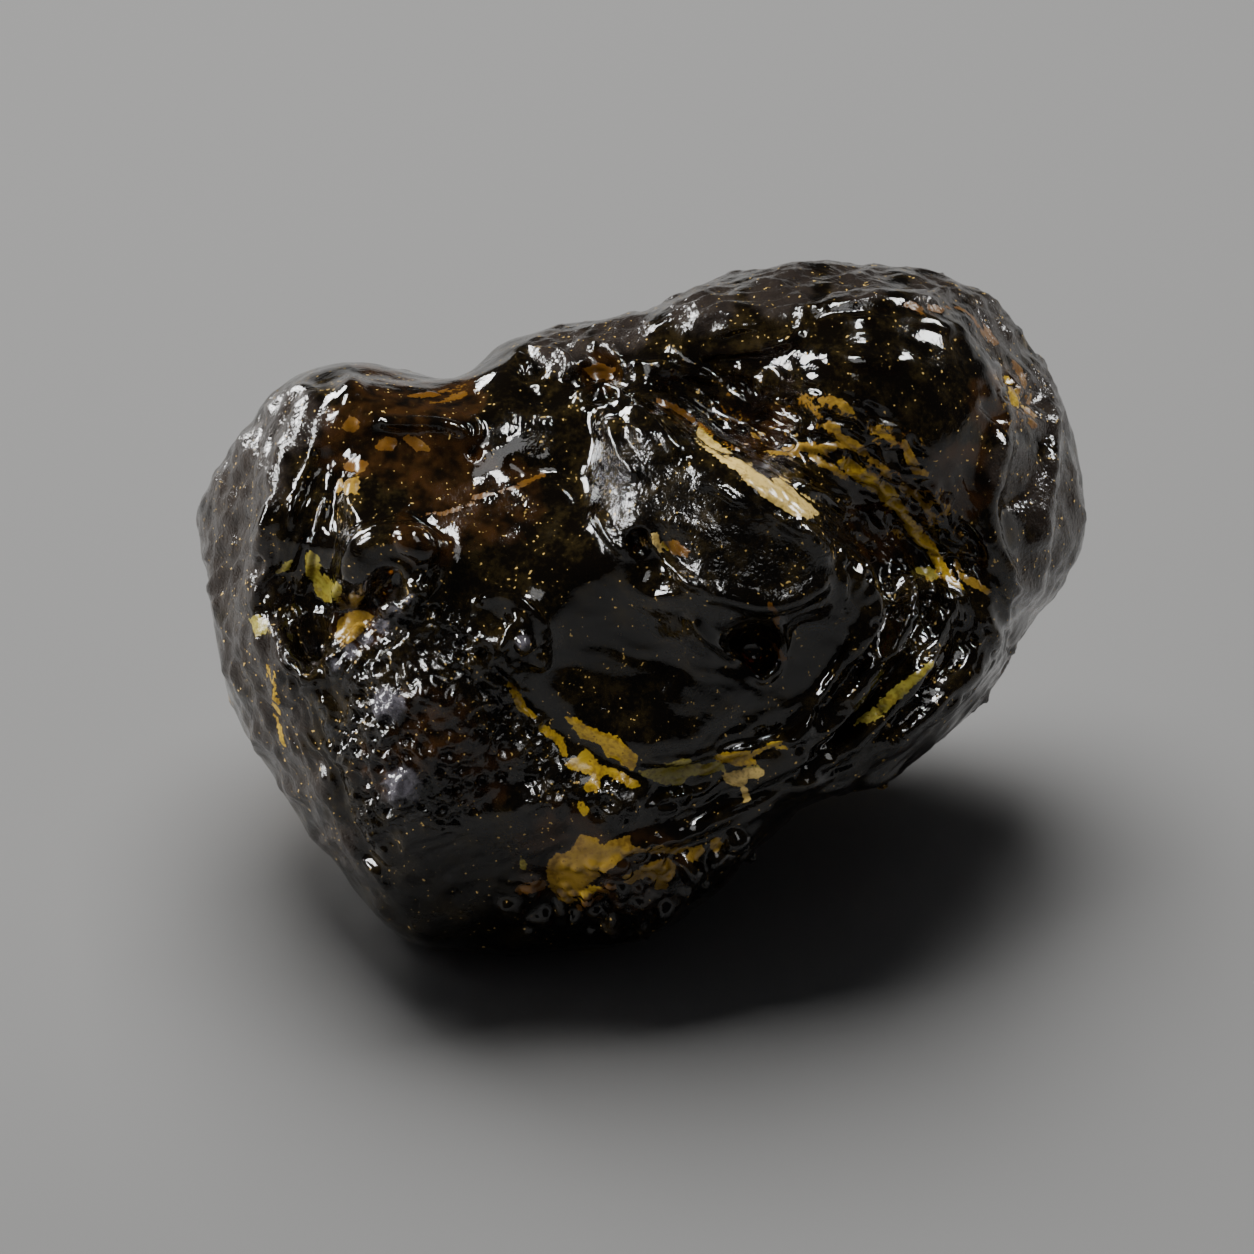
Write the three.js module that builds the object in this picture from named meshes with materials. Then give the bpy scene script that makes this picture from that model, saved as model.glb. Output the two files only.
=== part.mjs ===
// Rough blue amber: one natural nugget of dark fossil resin, resting on a worn flat.
// Millimetres, +Z up. The origin is on the resting flat, under the middle of the nugget's box.
//
// The shape is described as it is seen from one side, a little from above:
// u runs to the right across that view, v runs up it, and w comes out of it towards the eye.
import * as THREE from "three";
import { ImprovedNoise } from "three/addons/math/ImprovedNoise.js";
import { mergeVertices } from "three/addons/utils/BufferGeometryUtils.js";

// Driving dimensions
const VIEW_ELEVATION = THREE.MathUtils.degToRad(35);
const FRONT_DEPTH = 17; // from the middle to the face towards the eye
const BACK_DEPTH = 20; // from the middle to the face away from the eye
const FRONT_SQUARENESS = 2.5; // 2 swells like an egg, more is blockier
const BACK_SQUARENESS = 2.05;
const HALF_LENGTH = 29; // half the span along u
const RIGHT_RECEDES = 11; // how far the right end turns back from the eye
const LEFT_RECEDES = 4;
const SEAT_CUT = 2.6; // height worn off the underside to make the resting flat
const EDGE_ROUNDING = 0.5; // how softly a broken facet meets its neighbours
const MESH_DETAIL = 21; // subdivision of the starting sphere, about 9,700 triangles
const FRONT_BIAS = 0.3; // crowds the triangles towards the more broken front
const WEAR_PASSES = 2; // rounds of wear that take the sharpness off every edge
const WEAR_SHARE = 0.4; // how far each round draws a vertex to the middle of its neighbours

const AMBER_COLOUR = 0x1c1008;
const AMBER_ROUGHNESS = 0.16;

// The nugget's outline as seen along -w: points [u, v], anticlockwise from the right end.
const OUTLINE = [
  [29.1, 5.7], [29.0, 9.6], [27.6, 14.8], [24.2, 20.0], [20.8, 22.3], [16.0, 22.7],
  [11.6, 22.6], [7.8, 22.1], [4.1, 21.3], [0.0, 19.2], [-5.2, 18.2], [-8.6, 17.4],
  [-12.0, 15.3], [-15.6, 15.9], [-19.5, 16.1], [-22.9, 14.8], [-25.2, 12.2], [-28.6, 7.0],
  [-29.1, 5.5], [-28.1, 3.1], [-27.9, 0.5], [-26.3, -6.0], [-23.1, -11.2], [-19.4, -16.4],
  [-15.2, -21.4], [-10.4, -22.2], [-5.2, -22.4], [0.0, -21.6], [3.0, -19.8], [8.1, -15.1],
  [11.5, -12.5], [16.5, -11.2], [21.1, -7.3], [24.8, -2.1], [27.0, 0.5], [28.7, 3.1],
];

// Broken facets: each planes the surface off square to the way it faces, to a depth of cut at one place.
const FACETS = [
  { name: "upper window", side: "front", at: [-11, 8.0], faces: [-0.06, 0.42, 0.9], cut: 1.0 },
  { name: "front wall", side: "front", at: [-4, -8], faces: [-0.06, -0.36, 0.93], cut: 1.9 },
  { name: "lower face", side: "front", at: [-10.5, -16], faces: [0.04, -0.76, 0.65], cut: 1.6 },
  { name: "right flank", side: "front", at: [15, -5], faces: [0.42, -0.5, 0.75], cut: 1.3 },
  { name: "left cheek", side: "front", at: [-26.5, 6], faces: [-0.9, 0.1, 0.42], cut: 1.4 },
  { name: "top shelf", side: "back", at: [-8, 10], faces: [0.05, 0.6, -0.8], cut: 1.6 },
  { name: "rear break", side: "back", at: [-10, 2], faces: [-0.35, 0.15, -0.92], cut: 2.2 },
  { name: "rear lobe break", side: "back", at: [14, 8], faces: [0.4, 0.3, -0.86], cut: 1.8 },
];

// Lumps standing out of the surface, and hollows where the height is negative.
// Each keeps its full height out to the level share of its radius.
const LUMPS = [
  { name: "shoulder", side: "front", at: [6.2, 4.2], radius: 8.6, level: 0.4, height: 2.8 },
  { name: "shoulder knob", side: "front", at: [0.6, 10.2], radius: 4.2, level: 0.2, height: 2.4 },
  { name: "shoulder finger", side: "front", at: [-0.6, 6.0], radius: 3.0, level: 0.1, height: 1.0 },
  { name: "shoulder end", side: "front", at: [12.2, 2.6], radius: 4.0, level: 0.1, height: 1.0 },
  { name: "eyebrow knob", side: "front", at: [-15.6, 3.8], radius: 4.2, level: 0.3, height: 2.8 },
  { name: "ring knob", side: "front", at: [-7.6, -1.4], radius: 3.2, level: 0.2, height: 1.7 },
  { name: "rear dome", side: "front", at: [16.0, 13.0], radius: 9.0, level: 0.3, height: 3.2 },
  { name: "corner knob", side: "front", at: [-18.6, 12.8], radius: 3.6, level: 0.2, height: 1.6 },
  { name: "pitted swell", side: "front", at: [-14.0, -7.6], radius: 6.6, level: 0.3, height: 2.2 },
  { name: "crust nodules", side: "front", at: [-1.5, -17.6], radius: 4.4, level: 0.3, height: 1.2 },
  { name: "left hollow", side: "front", at: [-21.2, 0.6], radius: 3.6, level: 0.1, height: -2.4 },
  { name: "eyebrow hollow", side: "front", at: [-17.4, -0.8], radius: 3.0, level: 0.2, height: -2.2 },
  { name: "top cup", side: "front", at: [-6.0, 14.2], radius: 2.6, level: 0.2, height: -1.6 },
  { name: "top cup beside it", side: "front", at: [-2.4, 14.6], radius: 2.4, level: 0.2, height: -1.5 },
  { name: "shoulder pit", side: "front", at: [1.6, 3.1], radius: 2.4, level: 0.2, height: -2.6 },
  { name: "oval pit", side: "front", at: [7.4, -2.4], radius: 3.0, level: 0.2, height: -1.8 },
  { name: "dark scoop", side: "front", at: [-0.8, -3.6], radius: 7.5, level: 0.2, height: -2.2 },
  { name: "grey scoop", side: "front", at: [-5.4, 8.6], radius: 4.6, level: 0.3, height: -1.4 },
  { name: "back boss", side: "back", at: [2, -4], radius: 9.0, level: 0.3, height: 2.4 },
  { name: "back knob", side: "back", at: [-18, 7], radius: 5.0, level: 0.2, height: 1.8 },
  { name: "back lobe knob", side: "back", at: [20, 11], radius: 5.5, level: 0.2, height: 1.8 },
  { name: "back scoop", side: "back", at: [6, 11], radius: 6.0, level: 0.2, height: -2.0 },
  { name: "back hollow", side: "back", at: [-14, -7], radius: 4.5, level: 0.2, height: -1.9 },
  { name: "back cup", side: "back", at: [17, 0], radius: 3.6, level: 0.2, height: -1.6 },
];

// Ridges that run over the surface, and creases where the height is negative.
const RIDGES = [
  {
    name: "left rim", side: "front", width: 2.6, height: 1.8,
    path: [[-18.8, 13.4], [-21.2, 10.6], [-22.8, 5.7], [-24.0, 1.2], [-22.8, -3.1], [-19.8, -5.6]],
  },
  {
    name: "bright crest", side: "front", width: 1.9, height: 1.4,
    path: [[-19.2, -4.2], [-15.4, -2.0], [-13.2, 1.6]],
  },
  {
    name: "window lip", side: "front", width: 1.9, height: 1.3,
    path: [[-17.4, 12.6], [-14.3, 11.9], [-10.4, 11.2]],
  },
  {
    name: "shoulder edge", side: "front", width: 2.8, height: 2.0,
    path: [[-1.6, 13.6], [3.2, 11.0], [8.1, 7.4], [13.1, 4.6]],
  },
  {
    name: "brow", side: "front", width: 1.9, height: 1.4,
    path: [[-1.0, 15.6], [3.2, 14.8], [7.6, 13.4]],
  },
  {
    name: "valley", side: "front", width: 5.2, height: -3.6,
    path: [[1.0, 15.6], [6.6, 12.6], [12.4, 9.4], [16.8, 4.6], [20.4, 0.0]],
  },
  {
    name: "vein crease", side: "front", width: 2.4, height: -1.6,
    path: [[-9.6, -3.9], [-5.2, -8.3], [0.0, -10.7], [8.5, -10.7]],
  },
  {
    name: "near fold", side: "front", width: 2.2, height: 1.6,
    path: [[13.4, 3.7], [14.4, -0.6], [12.8, -5.3], [8.5, -8.8], [2.6, -12.6]],
  },
  {
    name: "middle fold", side: "front", width: 2.0, height: 1.5,
    path: [[16.6, 2.6], [17.8, -1.8], [15.8, -6.3], [10.4, -10.8]],
  },
  {
    name: "far fold", side: "front", width: 2.0, height: 1.4,
    path: [[20.0, 2.5], [21.4, -1.6], [19.0, -5.6], [14.6, -9.2]],
  },
  {
    name: "lobe rib", side: "front", width: 2.4, height: 1.6,
    path: [[20.8, 16.8], [23.2, 12.9], [22.8, 7.0], [23.4, 1.8], [22.4, -2.4]],
  },
  {
    name: "lobe end rib", side: "front", width: 2.0, height: 1.3,
    path: [[24.6, 14.8], [26.1, 9.6], [25.8, 3.8]],
  },
  {
    name: "lobe rim", side: "front", width: 2.4, height: 1.3,
    path: [[3.0, 17.6], [7.2, 18.6], [12.7, 19.0], [18.0, 18.4], [20.8, 16.8]],
  },
  {
    name: "lower rim", side: "front", width: 1.8, height: 1.0,
    path: [[1.6, -17.6], [6.4, -13.6], [11.2, -10.4]],
  },
  {
    name: "back spine", side: "back", width: 3.2, height: 1.9,
    path: [[-22, 2], [-14, 8], [-4, 10], [5, 16], [13, 18]],
  },
  {
    name: "back fold", side: "back", width: 2.6, height: 1.5,
    path: [[10, -6], [16, -2], [22, 5], [23, 12]],
  },
  {
    name: "back crease", side: "back", width: 3.0, height: -1.8,
    path: [[-6, 14], [-3, 8], [2, 4], [12, 3], [19, 6]],
  },
  {
    name: "back seam", side: "back", width: 2.6, height: -1.4,
    path: [[-22, -4], [-14, -1], [-6, -8], [-8, -15]],
  },
];

// Lumps and hollows round the sides: each at an angle round the view, in degrees from u towards v,
// and a distance in front of the outline, or behind it where that is negative.
const SIDE_LUMPS = [
  { name: "top saddle", angle: 97, ahead: -9, radius: 8.0, level: 0.2, height: -2.4 },
  { name: "top knob", angle: 68, ahead: -11, radius: 6.5, level: 0.2, height: 1.8 },
  { name: "crown dish", angle: 48, ahead: -8, radius: 6.5, level: 0.2, height: -1.8 },
  { name: "left knuckle", angle: 160, ahead: -10, radius: 6.0, level: 0.2, height: 1.8 },
  { name: "left dish", angle: 190, ahead: -9, radius: 7.0, level: 0.3, height: -2.2 },
  { name: "low knuckle", angle: 225, ahead: -9, radius: 6.0, level: 0.2, height: 1.4 },
  { name: "right dish", angle: 12, ahead: -8, radius: 7.0, level: 0.3, height: -2.2 },
  { name: "right knuckle", angle: 348, ahead: -8, radius: 5.5, level: 0.2, height: 1.4 },
  { name: "under dish", angle: 322, ahead: -7, radius: 7.0, level: 0.3, height: -2.0 },
];

// Gullies and ridges that run round the sides, in the same measure.
const SIDE_RIDGES = [
  { name: "notch gully", width: 3.4, height: -2.0, path: [[127, -3], [124, -9], [116, -14], [118, -18]] },
  { name: "crown gully", width: 3.0, height: -1.6, path: [[82, -4], [80, -10], [72, -16]] },
  { name: "end rib", width: 2.6, height: 1.2, path: [[36, -6], [22, -11], [2, -12]] },
  { name: "left rib", width: 2.4, height: 1.2, path: [[176, -5], [182, -11], [200, -15]] },
  { name: "under gully", width: 3.2, height: -1.6, path: [[330, 6], [318, 0], [310, -8], [300, -14]] },
];

// Uneven skin: broad swells everywhere, and a finer pucker where the surface is weathered.
const SWELL = { size: 9, height: 0.5 };
const PUCKER = { size: 2.8, height: 0.55 };
// How far out from the middle the weathered rind starts and is full, and the bolder relief starts to fade,
// as shares of the outline.
const RIND_FROM = 0.74;
const RIND_FULL = 0.96;
const RELIEF_FADES = 0.86;
// Rough patches inside the smoother front.
const ROUGH_PATCHES = [
  { name: "pitted patch", at: [-12.5, -7.5], radius: 7.5 },
  { name: "nodule patch", at: [-1.0, -18.0], radius: 6.5 },
  { name: "flow folds", at: [17.0, -4.0], radius: 8.0 },
  { name: "vein edges", at: [2.0, -11.5], radius: 4.5 },
];

// A ridge rises over this span at each end of its path, as shares of the path's length.
const PATH_FADE = { from: -0.05, full: 0.15 };
// How squarely a direction must face the eye to take the front's features, from none to all of them.
const FRONT_FACING = { from: -0.05, full: 0.1 };

const RIM_STEPS = 720; // points round the outline
const PATH_STEPS = 40; // stretches along a ridge

const smooth = THREE.MathUtils.smoothstep;
const noise = new ImprovedNoise();
const towardsEye = new THREE.Vector3(0, 0, 1);

// How far the outline lies from the middle, for each angle round the view.
const rimSamples = new THREE.CatmullRomCurve3(
  OUTLINE.map(([u, v]) => new THREE.Vector3(u, v, 0)), true,
).getPoints(RIM_STEPS).map((p) => ({ angle: Math.atan2(p.y, p.x), reach: Math.hypot(p.x, p.y) }))
  .sort((a, b) => a.angle - b.angle);

function rimReach(angle) {
  const next = rimSamples.findIndex((sample) => sample.angle >= angle);
  const after = rimSamples[next < 0 ? 0 : next];
  const before = rimSamples[next <= 0 ? rimSamples.length - 1 : next - 1];
  const gap = (after.angle - before.angle + 2 * Math.PI) % (2 * Math.PI);
  const into = (angle - before.angle + 2 * Math.PI) % (2 * Math.PI);
  return THREE.MathUtils.lerp(before.reach, after.reach, gap > 0 ? into / gap : 0);
}

// How far out a place lies, from 0 in the middle of the view to 1 on the outline.
function rimShare(u, v) {
  return Math.hypot(u, v) / rimReach(Math.atan2(v, u));
}

// The ends turn back from the eye: an offset along w, which leaves the outline as it is.
function recession(u) {
  return -(u > 0 ? RIGHT_RECEDES : LEFT_RECEDES) * (u / HALF_LENGTH) ** 2;
}

function swelling(isFront) {
  return isFront
    ? { depth: FRONT_DEPTH, power: FRONT_SQUARENESS }
    : { depth: BACK_DEPTH, power: BACK_SQUARENESS };
}

// The share left of one half-axis of the swollen form where the other one is used up to a given share.
function remainder(share, power) {
  return (1 - Math.min(1, share) ** power) ** (1 / power);
}

// The swollen form: where a ray from the middle along a unit direction leaves it.
function swollenPoint(direction) {
  const { depth, power } = swelling(direction.z > 0);
  const across = rimShare(direction.x, direction.y);
  const crowding = across ** power + (Math.abs(direction.z) / depth) ** power;
  const point = direction.clone().multiplyScalar(crowding ** (-1 / power));
  point.z += recession(point.x);
  return point;
}

// The point of the swollen form that is seen at [u, v] from the front, or lies behind it at the back.
function surfaceSite([u, v], side) {
  const { depth, power } = swelling(side === "front");
  const ahead = depth * remainder(rimShare(u, v), power) * (side === "front" ? 1 : -1);
  return new THREE.Vector3(u, v, ahead + recession(u));
}

// The point of the swollen form at an angle round the view, so far ahead of the outline.
function sideSite([degrees, ahead]) {
  const angle = THREE.MathUtils.degToRad(degrees);
  const turn = Math.atan2(Math.sin(angle), Math.cos(angle));
  const { depth, power } = swelling(ahead > 0);
  const reach = rimReach(turn) * remainder(Math.abs(ahead) / depth, power);
  const u = reach * Math.cos(turn);
  return new THREE.Vector3(u, reach * Math.sin(turn), ahead + recession(u));
}

const planes = FACETS.map(({ at, side, faces, cut }) => {
  const normal = new THREE.Vector3(...faces).normalize();
  return { normal, point: surfaceSite(at, side).addScaledVector(normal, -cut) };
});

// Front and back features are laid out flat in the view; those round the sides lie in the round.
function withPoints(ridge, toPoint) {
  const curve = new THREE.CatmullRomCurve3(ridge.path.map(toPoint));
  return { ...ridge, points: curve.getPoints(PATH_STEPS) };
}
const flatPoint = ([u, v]) => new THREE.Vector3(u, v, 0);
const lumps = LUMPS.map((lump) => ({ ...lump, site: flatPoint(lump.at) }));
const ridges = RIDGES.map((ridge) => withPoints(ridge, flatPoint));
const sideLumps = SIDE_LUMPS.map((lump) => ({ ...lump, site: sideSite([lump.angle, lump.ahead]) }));
const sideRidges = SIDE_RIDGES.map((ridge) => withPoints(ridge, sideSite));

// How far a point must move back to lie under a facet's plane, rounded where the facet ends.
function overPlane(point, plane) {
  const excess = plane.normal.dot(point.clone().sub(plane.point));
  if (excess >= EDGE_ROUNDING) return excess;
  if (excess <= -EDGE_ROUNDING) return 0;
  return (excess + EDGE_ROUNDING) ** 2 / (4 * EDGE_ROUNDING);
}

function lumpHeight(point, lump) {
  const share = point.distanceTo(lump.site) / lump.radius;
  return lump.height * (1 - smooth(share, lump.level, 1));
}

// A ridge fades out towards both ends of its path.
function ridgeHeight(point, ridge) {
  let nearest = Infinity;
  let along = 0;
  ridge.points.forEach((place, i) => {
    const distance = point.distanceTo(place);
    if (distance < nearest) {
      nearest = distance;
      along = i / PATH_STEPS;
    }
  });
  if (nearest >= ridge.width) return 0;
  const rise = (share) => smooth(share, PATH_FADE.from, PATH_FADE.full);
  return ridge.height * rise(along) * rise(1 - along) * (1 - smooth(nearest, 0, ridge.width));
}

function totalHeight(point, someLumps, someRidges) {
  const lumpy = someLumps.reduce((sum, lump) => sum + lumpHeight(point, lump), 0);
  return someRidges.reduce((sum, ridge) => sum + ridgeHeight(point, ridge), lumpy);
}

// The height of the lumps and ridges on one side of the nugget, which sink away towards the outline.
function reliefHeight(point, side) {
  const inside = 1 - smooth(rimShare(point.x, point.y), RELIEF_FADES, 1);
  const onSide = (feature) => feature.side === side;
  return inside * totalHeight(flatPoint([point.x, point.y]), lumps.filter(onSide), ridges.filter(onSide));
}

function skinHeight(point, frontShare) {
  const patches = ROUGH_PATCHES.map(({ at, radius }) => (
    1 - smooth(Math.hypot(point.x - at[0], point.y - at[1]), radius / 2, radius)));
  const rind = smooth(rimShare(point.x, point.y), RIND_FROM, RIND_FULL);
  const weathered = THREE.MathUtils.lerp(1, Math.max(rind, ...patches), frontShare);
  const grain = (size) => noise.noise(point.x / size, point.y / size, point.z / size);
  return SWELL.height * grain(SWELL.size) + PUCKER.height * weathered * grain(PUCKER.size);
}

// Moves a vertex by the relief it lies in: the front's and the back's half along its normal and half along
// the line of sight, the rest along its normal.
function raise(point, outward, frontShare) {
  const front = frontShare * reliefHeight(point, "front");
  const back = (1 - frontShare) * reliefHeight(point, "back");
  const forward = outward.clone().add(towardsEye).normalize();
  const backward = outward.clone().sub(towardsEye).normalize();
  return point.clone()
    .addScaledVector(outward, skinHeight(point, frontShare) + totalHeight(point, sideLumps, sideRidges))
    .addScaledVector(forward, front)
    .addScaledVector(backward, back);
}

// A sphere of shared vertices, which each step below pushes into shape.
function startingSphere() {
  const sphere = new THREE.IcosahedronGeometry(1, MESH_DETAIL);
  sphere.deleteAttribute("normal");
  sphere.deleteAttribute("uv");
  return mergeVertices(sphere);
}

// Replaces each vertex by what a function makes of it, its normal and its number.
function reshape(geometry, move) {
  geometry.computeVertexNormals();
  const { position, normal } = geometry.attributes;
  const point = new THREE.Vector3();
  const outward = new THREE.Vector3();
  for (let i = 0; i < position.count; i++) {
    point.fromBufferAttribute(position, i);
    outward.fromBufferAttribute(normal, i);
    position.setXYZ(i, ...move(point, outward, i).toArray());
  }
}

// Draws every vertex some way to the middle of its neighbours.
function wear(geometry) {
  const { position } = geometry.attributes;
  const middles = Array.from({ length: position.count }, () => new THREE.Vector3());
  const counts = new Array(position.count).fill(0);
  const corners = Array.from(geometry.index.array);
  corners.forEach((corner, i) => {
    const next = corners[i % 3 === 2 ? i - 2 : i + 1];
    middles[corner].add(new THREE.Vector3().fromBufferAttribute(position, next));
    counts[corner] += 1;
  });
  reshape(geometry, (point, outward, i) => point.lerp(middles[i].divideScalar(counts[i]), WEAR_SHARE));
}

// Turns the view's u, v and w into the part's X, Y and Z.
function standUp(geometry) {
  const sine = Math.sin(VIEW_ELEVATION);
  const cosine = Math.cos(VIEW_ELEVATION);
  geometry.applyMatrix4(new THREE.Matrix4().makeBasis(
    new THREE.Vector3(1, 0, 0),
    new THREE.Vector3(0, sine, cosine),
    new THREE.Vector3(0, -cosine, sine),
  ));
}

// Wears the underside down to a flat and puts the origin on it, under the middle of the nugget's box.
function seat(geometry) {
  geometry.computeBoundingBox();
  const floor = geometry.boundingBox.min.z + SEAT_CUT;
  reshape(geometry, (point) => (point.z < floor ? point.multiplyScalar(floor / point.z).setZ(floor) : point));
  geometry.computeBoundingBox();
  const middle = geometry.boundingBox.getCenter(new THREE.Vector3());
  geometry.translate(-middle.x, -middle.y, -floor);
}

function nuggetGeometry() {
  const geometry = startingSphere();
  const frontShares = [];
  reshape(geometry, (point) => {
    const direction = point.addScaledVector(towardsEye, FRONT_BIAS).normalize();
    frontShares.push(smooth(direction.z, FRONT_FACING.from, FRONT_FACING.full));
    return swollenPoint(direction);
  });
  reshape(geometry, (point) => {
    planes.forEach((plane) => point.addScaledVector(plane.normal, -overPlane(point, plane)));
    return point;
  });
  reshape(geometry, (point, outward, i) => raise(point, outward, frontShares[i]));
  for (let pass = 0; pass < WEAR_PASSES; pass++) wear(geometry);
  standUp(geometry);
  seat(geometry);
  geometry.computeVertexNormals();
  return geometry;
}

const amber = new THREE.Mesh(
  nuggetGeometry(),
  new THREE.MeshStandardMaterial({ color: AMBER_COLOUR, roughness: AMBER_ROUGHNESS, metalness: 0 }),
);
amber.name = "amber_nugget";

const nugget = new THREE.Group();
nugget.add(amber);

export default nugget;
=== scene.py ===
"""Looks of one rough amber nugget: its fine relief, its clear dark resin, its crust, veins and rind."""

from __future__ import annotations

import logging
import math
from collections.abc import Callable
from dataclasses import dataclass
from enum import Enum

import bmesh
import bpy
import numpy as np
from mathutils import Matrix, Vector, noise


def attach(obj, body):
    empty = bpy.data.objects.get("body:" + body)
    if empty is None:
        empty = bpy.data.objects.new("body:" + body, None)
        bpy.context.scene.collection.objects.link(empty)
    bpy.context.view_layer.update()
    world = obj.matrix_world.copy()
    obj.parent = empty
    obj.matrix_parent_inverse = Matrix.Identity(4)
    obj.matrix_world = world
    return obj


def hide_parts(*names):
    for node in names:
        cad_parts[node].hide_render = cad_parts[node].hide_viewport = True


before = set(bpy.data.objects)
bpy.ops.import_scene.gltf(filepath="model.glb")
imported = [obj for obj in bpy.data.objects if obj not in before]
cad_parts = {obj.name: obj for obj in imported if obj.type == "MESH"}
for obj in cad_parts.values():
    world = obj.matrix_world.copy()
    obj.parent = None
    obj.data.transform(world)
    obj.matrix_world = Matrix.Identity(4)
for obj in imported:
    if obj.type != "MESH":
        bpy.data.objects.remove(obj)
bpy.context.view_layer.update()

LOG = logging.getLogger("nugget")
MM = 0.001
FAR = 9.0
POWER_PER_RADIANCE = 4.0

Point = tuple[float, float]
Path = tuple[Point, ...]
Spot = tuple[float, float, float]
Colour = tuple[float, float, float]


@dataclass(frozen=True)
class Sight:
    """The viewpoint: a long lens that looks along +Y and down, and the picture points it gives."""

    elevation: float = math.radians(35.0)
    distance: float = 1.2
    sensor: float = 36.0
    picture_side: int = 1254
    mm_per_point: float = 0.065
    outline_middle: Point = (639.5, 607.5)

    def axes(self) -> tuple[Vector, Vector, Vector]:
        """Returns the directions to the right, up the picture and towards the eye."""
        sine, cosine = math.sin(self.elevation), math.cos(self.elevation)
        return Vector((1, 0, 0)), Vector((0, sine, cosine)), Vector((0, -cosine, sine))

    def aim(self, places: np.ndarray) -> Vector:
        """Finds the point that the middle of the picture shows.

        Args:
            places: The nugget's vertices, in metres.

        Returns:
            The aim point, in metres.
        """
        step = self.mm_per_point * MM
        middle = self.picture_side / 2
        shifts = ((middle - self.outline_middle[0]) * step, (self.outline_middle[1] - middle) * step, 0.0)
        aim = Vector((0, 0, 0))
        for axis, shift in zip(self.axes(), shifts):
            reach = places @ np.array(axis)
            aim += axis * float((reach.min() + reach.max()) / 2 + shift)
        return aim

    def picture_points(self, places: np.ndarray, aim: Vector) -> np.ndarray:
        """Projects places to picture points.

        Args:
            places: Points of the nugget, in metres.
            aim: The point that the middle of the picture shows.

        Returns:
            An array of x and y in picture points, y downwards.
        """
        right, up, towards = (np.array(axis) for axis in self.axes())
        away = places - np.array(aim)
        zoom = self.distance / (self.distance - away @ towards) / (self.mm_per_point * MM)
        middle = self.picture_side / 2
        return np.stack((middle + away @ right * zoom, middle - away @ up * zoom), axis=1)

    def place_camera(self, aim: Vector) -> None:
        """Adds the camera and makes it the scene's own.

        Args:
            aim: The point that the middle of the picture shows.
        """
        right, up, towards = self.axes()
        data = bpy.data.cameras.new("viewpoint")
        data.sensor_fit = "HORIZONTAL"
        data.sensor_width = self.sensor
        data.lens = self.distance * self.sensor / (self.picture_side * self.mm_per_point * MM)
        data.clip_end = 10.0
        camera = bpy.data.objects.new("viewpoint", data)
        turn = Matrix((right, up, towards)).transposed().to_4x4()
        camera.matrix_world = Matrix.Translation(aim + towards * self.distance) @ turn
        bpy.context.scene.collection.objects.link(camera)
        bpy.context.scene.camera = camera


class Tone(Enum):
    """The colours of crust and veins, as places along one colour ramp."""

    BROWN = 0.0
    OCHRE = 0.25
    GOLD = 0.5
    OLIVE = 0.75
    CREAM = 1.0


class Zone(Enum):
    """Kinds of uneven skin, each with its own grain, and the spots where sheen is painted."""

    RIND = "rind"
    PITTED = "pitted"
    SUGAR = "sugar"
    FLOW = "flow"
    NET = "net"
    BEADS = "beads"
    # Painted sheen: grey reflected light and highlights painted on the wax lumps, the ring knob and the
    # crest.
    PAINTED_SHEEN = "haze"
    VEIL = "veil"


@dataclass(frozen=True)
class Ridge:
    """A ridge along a path of picture points, or a crease where the height is negative.

    Width, from crest to foot, and height are in millimetres.
    """

    path: Path
    width: float
    height: float


@dataclass(frozen=True)
class Knob:
    """A rounded lump at a picture point, or a hollow where the height is negative, in millimetres."""

    at: Point
    radius: float
    height: float


@dataclass(frozen=True)
class Strands:
    """Fine parallel flow lines beside a guide path of picture points.

    How far they reach to each side, their spacing, length and depth are in millimetres.
    """

    guide: Path
    reach: float
    spacing: float
    length: float
    depth: float


@dataclass(frozen=True)
class Flat:
    """A broken face: spots of picture points, each x, y and radius, pressed towards one plane."""

    spots: tuple[Spot, ...]
    strength: float


@dataclass(frozen=True)
class Grain:
    """Soft random heights: from one swell to the next, and how high, in millimetres."""

    size: float
    height: float


@dataclass(frozen=True)
class Dimples:
    """Random round pits, or beads where the height is positive, with or without walls between them.

    Size, height and wall height are in millimetres. Rim, floor and wall width are shares of the size.
    """

    size: float
    rim: float
    floor: float
    height: float
    wall_width: float = 0.22
    wall_height: float = 0.0


@dataclass(frozen=True)
class Thread:
    """Crust or vein matter along a path of picture points: x, y and half its width at each."""

    path: tuple[Spot, ...]
    tone: Tone


@dataclass(frozen=True)
class Patch:
    """A patch of crust inside a closed outline of picture points."""

    outline: Path
    tone: Tone


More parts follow.
